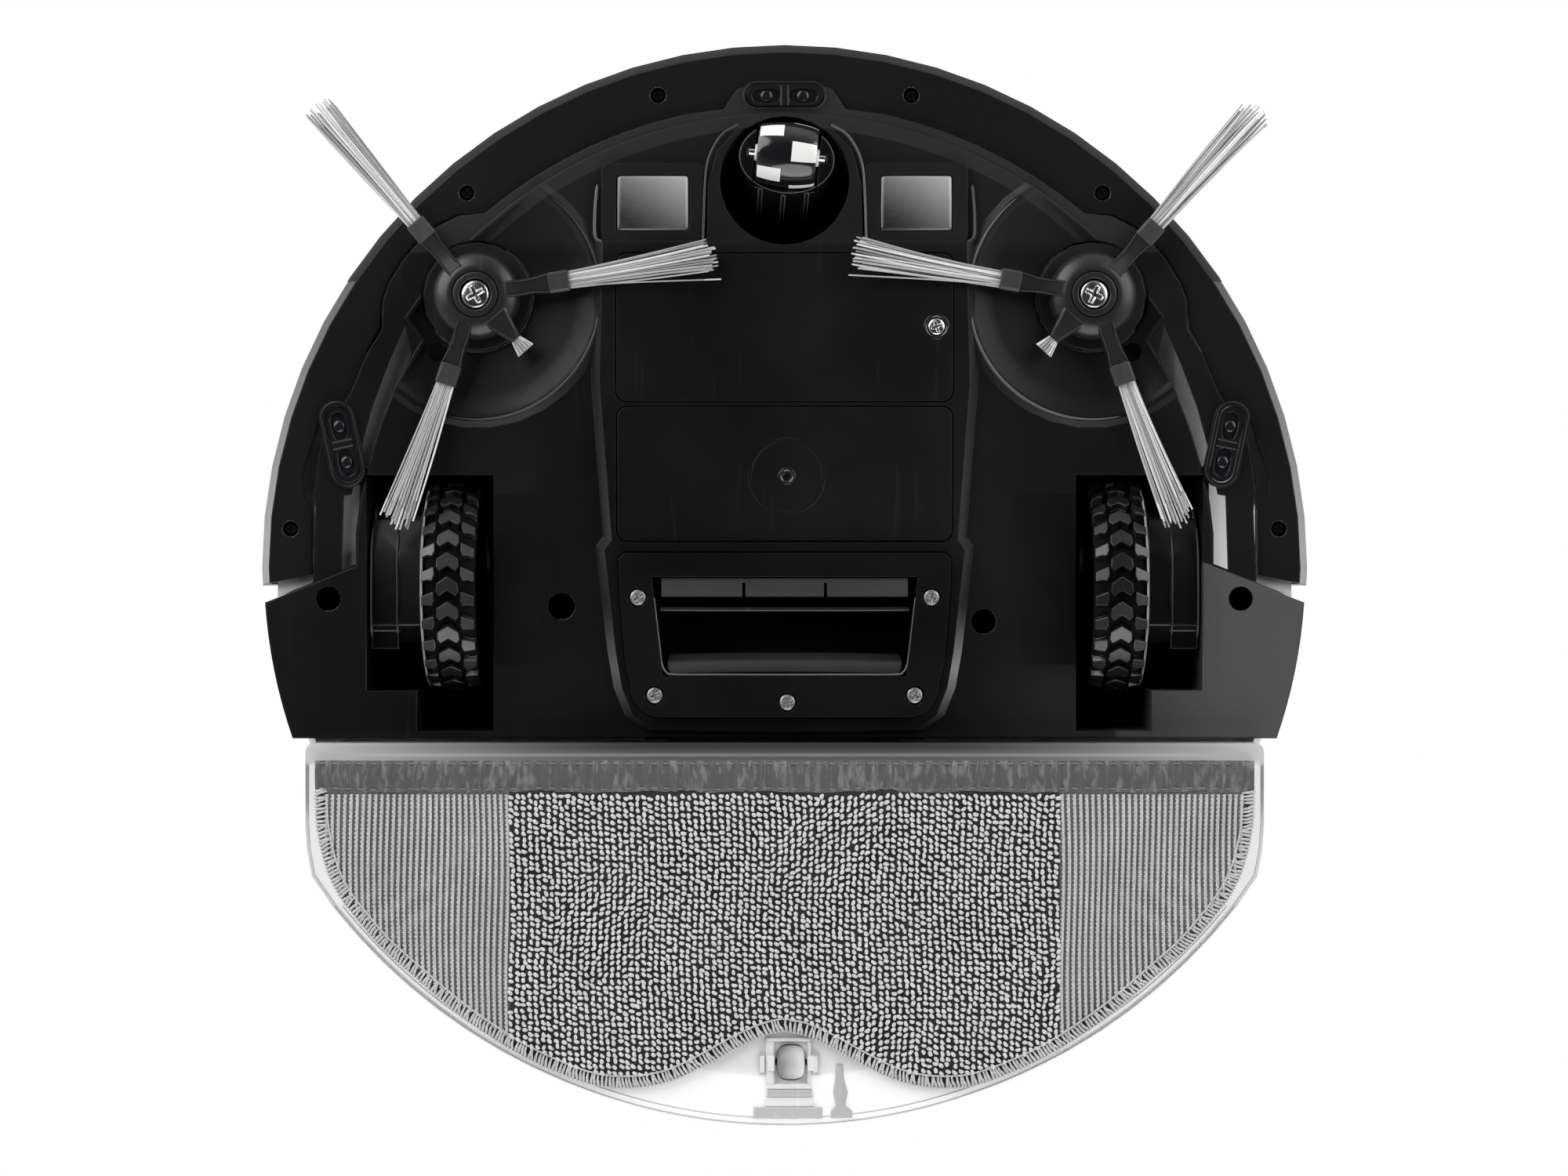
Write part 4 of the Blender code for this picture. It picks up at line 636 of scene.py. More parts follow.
def make_screws():
    """The cover, inlet and brush screws, each turned its own way, and the seats of the cover screws."""
    turns = {"battery_cover_screw": 20, "duct_cover_screw": 10}
    turns.update({"inlet_screw_%d" % i: 37 * i for i in range(1, 6)})
    turns.update({"side_brush_screw_left": 28, "side_brush_screw_right": 64})
    for node, turn in turns.items():
        x, y, r, low, high = screw_place(node)
        b = Build()
        screw_head(b, x, y, low + 0.7, r, 0.6, 0.8, radians(turn))
        shank = high - low - 1.5
        b.turned([(r, 0.0), (r * 0.45, 0.1), (r * 0.42, shank - 0.1), (0.0, shank)], (x, y, low + 1.5), 24)
        body = "brush_" + node.split("_")[-1] if "brush" in node else "chassis"
        b.make(node + "_detail", SLOTS[node], body, replaces=(node,))
    seats = Build()
    for cover, outer in (("battery_cover", 3.7), ("duct_cover", 2.4)):
        x, y = screw_place(cover + "_screw")[:2]
        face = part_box(cover)[0].z / MM
        step = [(outer - 0.9, 0.4), (outer - 0.35, -0.12), (outer, -0.16), (outer + 0.3, 0.1)]
        seats.turned(step, (x, y, face), 40)
    seats.make("screw_seats", "black_abs", "chassis", "gear_gloss", smooth=60)


# Angle from the front and distance from the body's middle.
BUMPER_SCREWS = ((15.0, 150.0), (40.3, 150.7), (85.5, 152.0))


def bumper_screws():
    """Sunk heads in the bumper's lower face, each on a near-black disc of painted shade, with a grey rim as a
    painted highlight.
    """
    b, rims = Build(), Build()
    for side in (1, -1):
        for angle, r in BUMPER_SCREWS:
            a = radians(angle)
            x, y = side * r * sin(a), BODY_Y - r * cos(a)
            screw_head(b, x, y, 16.1, 1.9, 0.5, 0.7, a)
            # Painted shade: a near-black disc round each head.
            b.turned([(1.2, -0.1), (3.6, -0.1), (3.6, 0.15), (1.2, 0.15), (1.2, -0.1)], (x, y, 17.0), 32)
            # Painted highlight: a grey rim round each disc.
            rims.turned([(2.35, -2.0), (2.6, -2.36), (2.85, -2.38), (3.1, -2.1)], (x, y, 17.0), 32)
    b.make("bumper_screws", "black_abs", "bumper", "black_and_groove_shade")
    rims.make("bumper_screw_rim_highlights", "black_abs", "bumper", "edge_dim", smooth=60)


# ---------------------------------------------------------------- side brushes
def at_polar(x, y, angle, r, across, z):
    """A point at distance r along an angle from (x, y), and across from that line."""
    c, s = cos(angle), sin(angle)
    return (x + r * c - across * s, y + r * s + across * c, z)


def arm(b, x, y, degrees, sections):
    """A chamfered arm through sections of (distance, half width, lower face, upper face)."""
    rings = []
    for r, half, z0, z1 in sections:
        k = min(0.7, half * 0.4)
        outline = [(-half, z0 + k), (-half + k, z0), (half - k, z0), (half, z0 + k),
                   (half, z1 - k), (half - k, z1), (-half + k, z1), (-half, z1 - k)]
        rings.append([at_polar(x, y, -radians(degrees), r, w, z) for w, z in outline])
    b.grid(rings)


def brush_hub(side, tag):
    """A domed hub with three arms and a stub, and the ferrules that grip the bristles."""
    x, y = side * BRUSH[0], BRUSH[1]
    body = "brush_" + tag
    b, ferrules = Build(), Build()
    profile = [(1.9, 11.0), (1.9, 6.9), (4.6, 6.9), (4.75, 6.7), (4.8, 5.2), (5.0, 5.0), (6.4, 4.9),
               (6.65, 5.0), (6.8, 5.9), (7.0, 5.9)]
    dome = [(7.2, 5.5), (8.6, 5.55), (10.4, 6.2), (12.0, 7.3), (13.0, 8.8), (13.4, 10.6)]
    profile += [tuple(p) for p in smooth_line(dome, 5)] + [(13.3, 12.0), (12.0, 12.2), (1.9, 12.2)]
    b.turned(profile, (x, y, 0.0), 96)
    for a in ARMS[side]:
        arm(b, x, y, a, ((9.6, 2.6, 5.7, 11.0), (13.0, 2.35, 6.4, 11.0), (15.5, 2.3, 6.8, 10.6),
                         (18.6, 2.4, 6.8, 10.0), (22.6, 3.0, 6.6, 9.8)))
        for w in (-1.0, 1.0):
            ridge = ((9.4, 2.2, 5.6), (13.0, 2.1, 6.2), (18.0, 2.1, 6.6), (22.4, 2.7, 6.5))
            b.tube([at_polar(x, y, -radians(a), r, w * k, z) for r, k, z in ridge], 0.3, 6)
    arm(b, x, y, STUBS[side], ((9.0, 4.2, 5.6, 11.0), (13.0, 3.1, 6.2, 11.0), (17.4, 1.9, 7.2, 10.4),
                               (18.2, 1.6, 7.6, 10.2)))
    b.make("brush_hub_" + tag, "brush_rubber", body, replaces=("side_brush_hub_" + tag,))
    for a in ARMS[side]:
        arm(ferrules, x, y, a, ((22.4, 2.9, 6.3, 10.2), (22.7, 3.15, 6.05, 10.4), (28.5, 3.15, 6.05, 10.4),
                                (28.8, 2.9, 6.3, 10.2)))
    ferrules.make("brush_ferrules_" + tag, "brush_rubber", body, "ferrule")


def bristles(side, tag):
    """Nylon strands that leave a ferrule together and spread to the tip."""
    x, y = side * BRUSH[0], BRUSH[1]
    b = Build()
    count, root, points, sides = 30, 28.4, 9, 5
    for a in ARMS[side]:
        angle = -radians(a)
        for i in range(count):
            lane = (i + 0.5) / count * 2 - 1 + rng.uniform(-0.05, 0.05)
            clump = round(lane * 4.5) / 4.5
            lane = 0.45 * lane + 0.55 * clump
            layer = rng.uniform(-0.9, 0.9)
            tip = rng.uniform(72.0, 76.0) - 2.0 * abs(lane)
            bow = rng.uniform(-0.5, 0.5)
            path = []
            for t in np.linspace(0, 1, points):
                r = root + (tip - root) * t
                across = lane * (2.4 + 2.4 * t ** 1.2) + bow * sin(pi * t)
                z = 8.2 + layer * (0.8 + 0.5 * t) - 5.4 * t ** 1.6
                path.append(at_polar(x, y, angle, r, across, z))
            b.tube(path, np.linspace(0.33, 0.27, points), sides)
        if a in INNER_ARMS:
            lean = 1.0 if cos(angle) > 0 else -1.0
            places = ((28.6, 1.9, 7.4), (50.0, 4.2, 6.0), (74.5, 7.4, 4.0))
            stray = [at_polar(x, y, angle, r, lean * w, z) for r, w, z in places]
            b.tube(smooth_line(stray, 5), 0.25, sides)
    stub = -radians(STUBS[side])
    for i in range(16):
        lane = i / 15 * 2 - 1
        path = []
        for t in (0, 0.5, 1):
            z = 8.8 - 1.2 * t + 0.5 * sin(i * 2.1)
            path.append(at_polar(x, y, stub, 17.6 + 5.2 * t, lane * (1.3 + 1.5 * t), z))
        b.tube(path, 0.26, sides)
    obj = b.make("bristle_strands_" + tag, "bristle_grey", "brush_" + tag, smooth=60,
                 replaces=("side_brush_bristles_" + tag,), weld=False)
    obj.data.materials.append(M["bristle_dark"])
    obj.data.materials.append(M["bristle_light"])
    shade = {}
    for poly in obj.data.polygons:
        strand = poly.vertices[0] // (points * sides)
        poly.material_index = shade.setdefault(strand, int(rng.integers(0, 3)))


# ---------------------------------------------------------------- wheels
def tyre(side, tag):
    """Three rows of tread: arrowheads in the middle and slanted blocks at both edges."""
    centre = (side * WHEEL[0], WHEEL[1], WHEEL[2])
    cx, cy, cz = centre
    teeth, steps, top, floor = 27, 108, 32.95, 30.6
    b, band = Build(), Build()
    half = [(25.9, -7.7), (27.6, -8.1), (29.3, -7.9), (30.2, -7.2), (floor, -6.2)]
    carcass = half + [(r, -a) for r, a in half[::-1]] + half[:1]
    b.turned(carcass, centre, steps, "X")
    arrow = [(-3.2, 0.0), (-1.0, 3.2), (1.6, 3.4), (2.9, 2.5), (1.2, 0.0), (2.9, -2.5), (1.6, -3.4),
             (-1.0, -3.2)]
    edge = [(-2.0, 4.2), (-0.4, 8.0), (2.6, 8.0), (2.2, 6.2), (2.4, 4.7), (0.6, 4.0)]
    other_edge = [(s, -a) for s, a in edge][::-1]

    def ring(outline, turn, radius, grow):
        """An outline of (way round, way across) laid on the tread; its shoulders drop."""
        out = []
        for s, a in outline:
            phi = s * grow / top + turn
            r = radius - 1.1 if abs(a) > 7.0 else radius
            out.append((cx + a * (1.0 if grow > 0.97 else 0.985), cy + r * sin(phi), cz - r * cos(phi)))
        return out

    for i in range(teeth):
        for outline, late in ((arrow, 0.0), (edge, 0.46), (other_edge, 0.46)):
            turn = tau * (i + late) / teeth
            b.grid([ring(outline, turn, floor - 0.9, 1.06), ring(outline, turn, top - 0.35, 1.0),
                    ring(outline, turn, top, 0.93)])
    obj = b.make("tyre_tread_" + tag, "tyre_rubber", "wheel_" + tag, smooth=28,
                 replaces=("tyre_" + tag,), weld=False)
    # Painted shade: the carcass between the tread blocks is darker than the blocks.
    obj.data.materials.append(M["black_and_groove_shade"])
    for poly in obj.data.polygons[:steps * (len(carcass) - 1)]:
        poly.material_index = 1
    # Painted highlight: a light-grey band on the tyre's outer side.
    profile = [(27.9, 8.1), (28.3, 8.25), (31.4, 8.25), (31.9, 8.0), (31.4, 7.6)]
    band.turned([(r, side * h) for r, h in profile], centre, steps, "X")
    band.make("tyre_side_band_" + tag, "tyre_rubber", "wheel_" + tag, "side_grey", smooth=50)


def gear_case_trim(side, tag):
    """Light-grey beads as painted highlights: a bright one along the outer edge, dimmer ones along the seam,
    and rings on the collars of the swing arm's pivot.
    """
    b, seams = Build(), Build()
    for made, x in ((b, 127.0), (seams, 119.0), (seams, 111.8)):
        line = [(side * x, y, z) for y, z in ((-17.0, 21.6), (-8.2, 16.6), (14.0, 16.6), (19.4, 22.8))]
        made.tube(smooth_line(line, 5), 0.3, 6)
    seams.tube([(side * 119.0, 14.1, 16.6), (side * 127.0, 14.1, 16.6)], 0.2, 6)
    for x in (112.2, 118.2, 120.0, 126.9):
        collar = [(4.62, side * -0.5), (4.85, side * -0.3), (4.85, side * 0.3), (4.62, side * 0.5)]
        (b if x > 126 else seams).turned(collar, (side * x, -17.8, 30.0), 40, "X")
    for x in (118.9, 127.0):
        seams.tube([(side * x, 14.6, 18.7), (side * x, 21.2, 18.7)], 0.18, 6)
    b.make("gear_case_edge_highlights_" + tag, "satin_abs", "arm_" + tag, "edge_grey", smooth=60, weld=False)
    seams.make("gear_case_seam_highlights_" + tag, "satin_abs", "arm_" + tag, "edge_dim", smooth=60, weld=False)


def caster_wheel():
    """A short barrel with alternating white patches that a sensor counts."""
    cx, cy, cz = CASTER_WHEEL
    half = smooth_line([(8.4, -9.0), (8.9, -8.0), (9.55, -5.0), (9.9, -2.0), (10.0, 0.0)], 4)
    hub = [(1.5, 9.8), (2.3, 9.8), (2.6, 9.5), (2.6, 9.0)]
    profile = [(r, -h) for r, h in hub] + mirrored(half) + hub[::-1]
    b = Build()
    b.turned(profile, CASTER_WHEEL, 120, "X")
    obj = b.make("caster_barrel", "caster_plastic", "caster_roller", smooth=40,
                 replaces=("caster_wheel",), weld=False)
    obj.data.materials.append(M["caster_white"])
    for poly in obj.data.polygons:
        c = poly.center / MM
        u, v, w = c.x - cx, c.y - cy, cz - c.z
        phi = degrees(atan2(v, w))
        if hypot(v, w) < 3.0:
            white = True
        elif u < 0:
            white = (phi + 58) % 90 < 31 and -8.6 < u < -1.3
        else:
            white = (phi + 17) % 90 < 36 and 1.5 < u
        poly.material_index = 1 if white else 0
    turn_about(obj.data, CASTER, CASTER_TURN)


def caster_edge_highlights():
    """Light-grey beads along the fork's moulded ribs and round its cheeks, as painted highlights."""
    b = Build()
    y = CASTER[1]
    for gx, low, middle, high in ((-7.1, 3.2, 8.4, 11.0), (0.0, 4.6, 10.1, 13.1), (7.1, 3.2, 8.4, 11.0)):
        for edge in (-0.55, 0.55):
            line = [(gx + edge, y + low, 11.6), (gx + edge, y + middle, 22.0), (gx + edge, y + high, 33.6)]
            b.tube(smooth_line(line, 4), 0.22, 6)
    for first, last, thick in ((-46, 46, 0.2), (134, 226, 0.2), (48, 132, 0.16)):
        circle = arc((0.0, 0.0, 10.25), 1.0, first, last, 32)
        b.tube([(14.4 * u, CASTER_WHEEL[1] + 0.8 + 10.6 * v, z) for u, v, z in circle], thick, 6)
    obj = b.make("caster_fork_edge_highlights", "black_abs", "caster", "edge_grey", smooth=80, weld=False)
    turn_about(obj.data, CASTER, CASTER_TURN)


def turn_about(mesh, centre, degrees):
    """Turns a mesh about a vertical line."""
    at = Matrix.Translation(Vector((*centre, 0.0)) * MM)
    mesh.transform(at @ Matrix.Rotation(radians(degrees), 4, "Z") @ at.inverted())


# ---------------------------------------------------------------- sensors and contacts
def sensor_lenses():
    """Two lenses, a raised rim and two bars on each cliff sensor."""
    b, rims = Build(), Build()
    for x, y, tilt in ((-135.2, -41.4, -12.0), (135.2, -41.4, 12.0), (0.0, -148.0, 90.0)):
        a = radians(tilt)
        c, s = cos(a), sin(a)
        for end in (-1, 1):
            u, v = x - s * end * 5.6, y + c * end * 5.6
            dome = smooth_line([(2.0, 13.1), (1.75, 12.75), (1.1, 12.45), (0.0, 12.35)], 4)
            b.turned([tuple(p) for p in dome], (u, v, 0.0), 28)
        ring = []
        half, wide = (13.0, 4.8) if tilt != 90.0 else (12.6, 4.1)
        for k in range(64):
            t = tau * k / 64
            py = copysign(half - wide, sin(t)) + wide * sin(t)
            px = wide * cos(t)
            ring.append((x + px * c - py * s, y + px * s + py * c, 11.7))
        rims.tube(ring + ring[:2], 0.25, 6)
        for w in (-1.0, 1.0):
            rims.tube([(x + p * c - w * s, y + p * s + w * c, 12.3) for p in (-3.2, 3.2)], 0.35, 6)
    b.make("sensor_lenses", "sensor_black", "chassis", smooth=60)
    rims.make("sensor_rims", "sensor_black", "chassis", "black_abs", smooth=60, weld=False)


def hole_shade_fills():
    """Near-black discs at the bottom of the body's round holes as painted shade, and light-grey arcs on part
    of their rims as painted highlights.
    """
    b, edges = Build(), Build()
    for x, y, r in ((-139.5, 5.9, 3.8), (139.5, 5.9, 3.8), (-68.2, 8.2, 4.2), (60.9, 12.9, 3.9)):
        b.turned([(r - 0.05, 12.7), (r - 0.25, 13.2), (r - 0.3, 14.6), (0.0, 14.7)], (x, y, 0.0), 32)
        edges.tube(arc((x, y, 12.6), r, -50, 104, 14), 0.14, 6)
    b.make("hole_shade_fills", "black_abs", "chassis", "hole_painted_shade", smooth=50)
    edges.make("hole_edge_highlights", "black_abs", "chassis", "edge_grey", smooth=80, weld=False)


def inlet_lining():
    """The suction mouth's rolled lip, a light-grey bead as painted highlight, the rib behind its flaps and
    the ramp at its rear.
    """
    lip = Build()
    half = [(39.7, 5.6), (38.6, 15.0), (37.6, 23.6), (37.1, 26.2), (35.9, 28.1), (33.6, 28.8), (20.0, 28.85),
            (0.0, 28.9)]
    edge = smooth_line([(x, y, 5.5) for x, y in half], 5)
    path = [tuple(p) for p in edge] + [(-x, y, z) for x, y, z in edge[::-1][1:]]
    # Painted highlight: a light-grey bead round the mouth.
    lip.tube(path, 0.3, 8)
    lip.make("inlet_lip_highlight", "satin_abs", "chassis", "edge_grey", smooth=80, weld=False)
    b = Build()
    b.tube([(-38.0, 9.0, 9.6), (-20.0, 9.1, 9.5), (20.0, 9.1, 9.5), (38.0, 9.0, 9.6)], 0.75, 10)
    ramp = []
    for y, z, w in ((28.5, 6.2, 34.6), (27.0, 6.6, 35.4), (25.2, 7.8, 35.6), (23.6, 9.8, 35.2),
                    (22.8, 12.6, 34.8)):
        ramp.append([(w * u, y - 0.5 * (1 - u * u), z) for u in np.linspace(-1, 1, 41)])
    b.grid(ramp, closed=False, caps=False)
    b.make("inlet_ramp", "satin_abs", "chassis", "ramp_grey", smooth=80)


def platform_highlight_beads():
    """Light-grey beads along the caster collar, the platform's front corners and the dishes' inner rims, as
    painted highlights, brighter on one side than on the other.
    """
    bright, dim = Build(), Build()
    line = [(14.2, -138.6, 9.6), (18.6, -136.0, 9.5), (21.7, -131.7, 9.4), (23.7, -126.1, 9.4),
            (24.4, -118.2, 9.4), (24.9, -103.6, 9.4)]
    for side, made in ((1, bright), (-1, dim)):
        made.tube([(side * x, y, z) for x, y, z in smooth_line(line, 6)], 0.42, 8)
    corner = [(57.2, -120.6, 10.6), (57.8, -114.0, 10.3), (58.0, -106.6, 10.1), (57.4, -103.9, 10.0),
              (55.4, -102.9, 9.9)]
    thick = [0.2] + [0.5] * 22 + [0.3, 0.2]
    for side, made in ((-1, bright), (1, dim)):
        made.tube([(side * x, y, z) for x, y, z in smooth_line(corner, 6)], thick, 8)
    for side, made, first, last in ((1, bright, 232, 77), (-1, dim, -52, 103)):
        x, y = side * BRUSH[0], BRUSH[1]
        thick = [0.1 + 0.42 * sin(pi * k / 60) ** 0.5 for k in range(61)]
        made.tube(arc((x, y, 10.55), 37.7, first, last, 60), thick, 8)
    bright.make("platform_highlight_beads", "black_abs", "chassis", "edge_grey", smooth=80, weld=False)
    dim.make("platform_beads_dim", "black_abs", "chassis", "edge_dim", smooth=80, weld=False)


def slab(b, outline, z0, z1, soft=0.25):
    """A flat plate with softened lower edges; z0 is its lower face."""
    cx = sum(p[0] for p in outline) / len(outline)
    cy = sum(p[1] for p in outline) / len(outline)

    def nearer(value, middle, inset):
        return value - copysign(min(inset, abs(value - middle)), value - middle)

    def ring(z, inset):
        return [(nearer(x, cx, inset), nearer(y, cy, inset), z) for x, y in outline]

    b.grid([ring(z1, 0.0), ring(z0 + soft, 0.0), ring(z0, soft)])


def rectangle(x0, x1, y0, y1):
    """An upright rectangle's corners."""
    return [(x0, y0), (x1, y0), (x1, y1), (x0, y1)]


def tank_fittings():
    """The frosted frame, ears and foot round the support roller, the peg beside it and the rim's folds; the
    greyer pieces and the lines along the folds are painted shade.
    """
    b, shade = Build(), Build()
    for outline in (rectangle(-5.8, 8.1, 138.7, 139.9), rectangle(-5.8, 8.1, 152.9, 154.3),
                    rectangle(-5.8, -3.3, 139.9, 152.9), rectangle(7.2, 8.1, 139.9, 152.9)):
        slab(b, outline, 3.1, 4.1)
    for x0, x1 in ((-7.7, -5.9), (8.2, 10.3)):
        slab(shade, rectangle(x0, x1, 143.3, 150.0), 2.9, 4.1)
        slab(b, rectangle(x0 + 0.25, x1 - 0.25, 144.2, 149.2), 2.5, 3.0)
    slab(shade, rectangle(-5.3, 8.3, 154.5, 156.6), 3.0, 4.1)
    slab(b, rectangle(-5.9, 8.8, 156.8, 159.6), 3.3, 4.1)
    slab(shade, rectangle(-9.4, 11.4, 159.8, 163.2), 3.1, 4.1, 0.4)
    peg = [(15.5, 146.8), (17.6, 146.8), (17.9, 151.2), (19.1, 155.2), (18.9, 156.6), (18.2, 159.4),
           (20.4, 161.0), (20.4, 163.0), (14.0, 163.2), (14.0, 161.0), (15.6, 159.4), (14.8, 156.6),
           (14.7, 155.2), (15.3, 151.2)]
    slab(shade, peg, 3.2, 4.1, 0.5)
    x, y, z = ROLLER[0], ROLLER[1], 4.9
    outer, inner = [], []
    for k in range(64):
        c, s = cos(tau * k / 64), sin(tau * k / 64)
        outer.append((x + 4.85 * max(-1, min(1, 1.5 * c)), y + 6.35 * max(-1, min(1, 1.5 * s)), z))
        inner.append((x + 4.45 * copysign(abs(c) ** 0.6, c), y + 5.5 * copysign(abs(s) ** 0.75, s), z))
    b.grid([outer, inner], caps=False)
    b.make("tank_fittings", "clear_tank", "tank", "fitting_clear", smooth=40, weld=False)
    # Painted shade: grey lines along the rim.
    middle, ends = TANK_REAR_Y - TANK_ARC_R, 99.0
    for inset, thick in ((0.5, 0.22), (2.4, 0.16)):
        radius = TANK_ARC_R - inset
        reach = degrees(acos((ends - middle) / radius))
        shade.tube(arc((0.0, middle, 3.9), radius, 90 + reach, 90 - reach, 90), thick, 6)
    shade.make("tank_fitting_shades", "clear_tank", "tank", "fitting_shade", smooth=40, weld=False)
    slots = Build()
    slab(slots, rectangle(-5.3, -3.2, 145.2, 147.7), 2.95, 3.2, 0.05)
    slab(slots, rectangle(7.1, 7.9, 145.2, 147.7), 2.95, 3.2, 0.05)
    slots.make("roller_axle_ends", "bright_steel", "tank", "dark_screw", smooth=40, weld=False)


def bumper_springs():
    """Coil springs behind the front bumper, which on the real machine shorten as it is pressed."""
    turns, steps, radius = 5, 32, 2.95
    rear, length = -139.8, 8.4
    for side, tag in SIDES:
        path = []
        for k in range(turns * steps + 1):
            a = tau * k / steps
            wound = min(1.0, max(0.0, (a / tau - 0.5) / (turns - 1)))
            path.append((side * 60 + radius * cos(a), rear - length * wound, 38.0 + radius * sin(a)))
        b = Build()
        b.tube(path, 0.4, 8)
        coil = b.make("bumper_coil_" + tag, "spring_steel", "chassis", smooth=60,
                      replaces=("bumper_spring_" + tag,))
        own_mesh(coil)


def support_roller():
    """A soft barrel with rounded ends."""
    half = smooth_line([(1.3, -4.18), (2.6, -4.15), (3.9, -3.75), (4.7, -2.9), (5.1, -1.5), (5.2, 0.0)], 4)
    b = Build()
    b.turned(mirrored(half), ROLLER, 64, "X")
    b.make("support_roller_barrel", "grey_rubber", "support_roller", "roller_rubber", smooth=60,
           replaces=("tank_roller",))


def contact_plates():
    """Pressed plates with a slight crown and rolled edges."""
    cy, wide, deep = CONTACT[1:]
    nx, ny = 36, 28
    for side, tag in SIDES:
        cx = side * CONTACT[0]
        rows = []
        for j in range(ny + 1):
            row = []
            for i in range(nx + 1):
                u, v = 2 * i / nx - 1, 2 * j / ny - 1
                crown = 0.22 * u * u + 0.16 * v * v + 0.05 * u * v
                roll = max(0.0, (abs(u) - 0.972) / 0.028) ** 2 + max(0.0, (abs(v) - 0.965) / 0.035) ** 2
                row.append((cx + u * wide, cy + v * deep, 9.15 + crown + 0.6 * roll))
            rows.append(row)
        b = Build()
        b.grid(rows, closed=False, caps=False)
        b.make("contact_plate_" + tag, "contact_steel", "chassis", "contact_" + tag, smooth=80,
               replaces=("charge_contact_" + tag,))


# ---------------------------------------------------------------- mop
def mop_half():
    """The right half of the cloth's outline: its end, its long curve and the dip over the roller."""
    pts = [(141.8, 54.9), (141.9, 60.0), (141.9, 66.0), (141.2, 76.0), (138.6, 87.0), (134.6, 95.5)]
    pts += [(129.0, 103.0), (121.5, 111.6), (112.0, 120.0), (99.5, 130.6), (86.0, 140.0), (76.0, 145.6)]
    pts += [(66.0, 150.0), (58.0, 152.6), (50.5, 153.6), (42.0, 153.2), (33.0, 151.0), (23.0, 146.2)]
    return pts + [(14.0, 141.2), (6.0, 137.6), (0.0, 136.2)]


CURVE = smooth_line([(*p, 0.0) for p in mop_half()], 8)[:, :2]


def rear_edge(x):
    """The y at which the mop's curved edge lies, at half-width |x|."""
    order = np.argsort(CURVE[:, 0])
    return np.interp(np.abs(x), CURVE[order, 0], CURVE[order, 1])


def ripple(x, y):
    """Gentle lift of the cloth, in millimetres."""
    return 0.16 * np.sin(x * 0.11 + 1.3) * np.sin(y * 0.13) + 0.1 * np.sin(x * 0.31 + y * 0.22)


def mop_cloth():
    """The knitted ground of the pad: crowned, thinner at its edge, wrinkled at the corners."""
    nx, ny = 300, 110
    half, edge = MOP_HALF - 0.2, 5.0
    low, high = [], []
    for j in range(ny + 1):
        t = j / ny
        for u in np.linspace(-1, 1, nx + 1):
            x = u * half
            length = float(rear_edge(x)) - MOP_FRONT
            y = MOP_FRONT + length * t
            rim = min(1.0, min(t, 1 - t) * length / edge, (1 - abs(u)) * half / edge)
            rim = max(0.0, rim) ** 0.5
            corner = exp(-((abs(x) - 118) / 18) ** 2 - ((y - 100) / 14) ** 2)
            wrinkle = corner * 0.25 * sin((abs(x) * 0.7 - y * 0.9) * 0.75)
            z = 2.0 - 0.75 * rim + float(ripple(x, y)) * rim + wrinkle
            low.append((x, y, max(0.25, z)))
            high.append((x, y, 3.35))
    n, off = nx + 1, len(low)
    faces = []
    for j in range(ny):
        for i in range(nx):
            a = j * n + i
            faces.append((a, a + 1, a + n + 1, a + n))
            faces.append((off + a, off + a + n, off + a + n + 1, off + a + 1))
    for i in range(nx):
        faces += [(k, k + 1, off + k + 1, off + k) for k in (i, ny * n + i)]
    for j in range(ny):
        faces += [(k, k + n, off + k + n, off + k) for k in (j * n, j * n + nx)]
    return piece("mop_ground", low + high, faces, "mop_cloth", "tank", smooth=60,
                 replaces=("mop_pad",), weld=False)


def mop_loops():
    """Terry loops in even rows and columns, each a plump grain of yarn leaning its own way."""
    b = Build()
    pitch_x, pitch_y, columns, rows, sides = 1.915, 1.85, 43, 46, 7
    for i in range(-columns, columns + 1):
        for j in range(rows):
            x = i * pitch_x + rng.normal(0, 0.15) + 0.45 * sin(j * 0.21 + i * 0.05)
            y = TERRY_FRONT + (j + 0.25 * (i % 2)) * pitch_y + rng.normal(0, 0.16) + 0.3 * sin(i * 0.21)
            if abs(x) > TERRY_HALF or y > float(rear_edge(x)) - 3.6:
                continue
            patch = sin(i * 0.17 + 0.5 * sin(j * 0.13)) + sin(j * 0.16 + i * 0.06)
            turn = radians((50 if patch < 1.1 else 128) + rng.normal(0, 24))
            half = rng.uniform(0.78, 0.98)
            wide = rng.uniform(0.52, 0.64)
            tall = rng.uniform(0.9, 1.2)
            lean = rng.uniform(-0.2, 0.2)
            c, s = cos(turn), sin(turn)
            rings = []
            for u, k in ((-1.0, 0.3), (-0.8, 0.72), (-0.35, 1.0), (0.3, 1.0), (0.78, 0.74), (1.0, 0.3)):
                ring = []
                for q in range(sides):
                    a = tau * q / sides
                    du, dv = u * half, wide * k * cos(a) + lean * u * u
                    dz = 0.5 * tall * k * sin(a) + 0.45 * tall * u * u
                    ring.append((x + du * c - dv * s, y + du * s + dv * c, 0.72 + dz))
                rings.append(ring)
            b.grid(rings)
    return b.make("mop_terry", "mop_cloth", "tank", "mop_loop", smooth=80, weld=False)


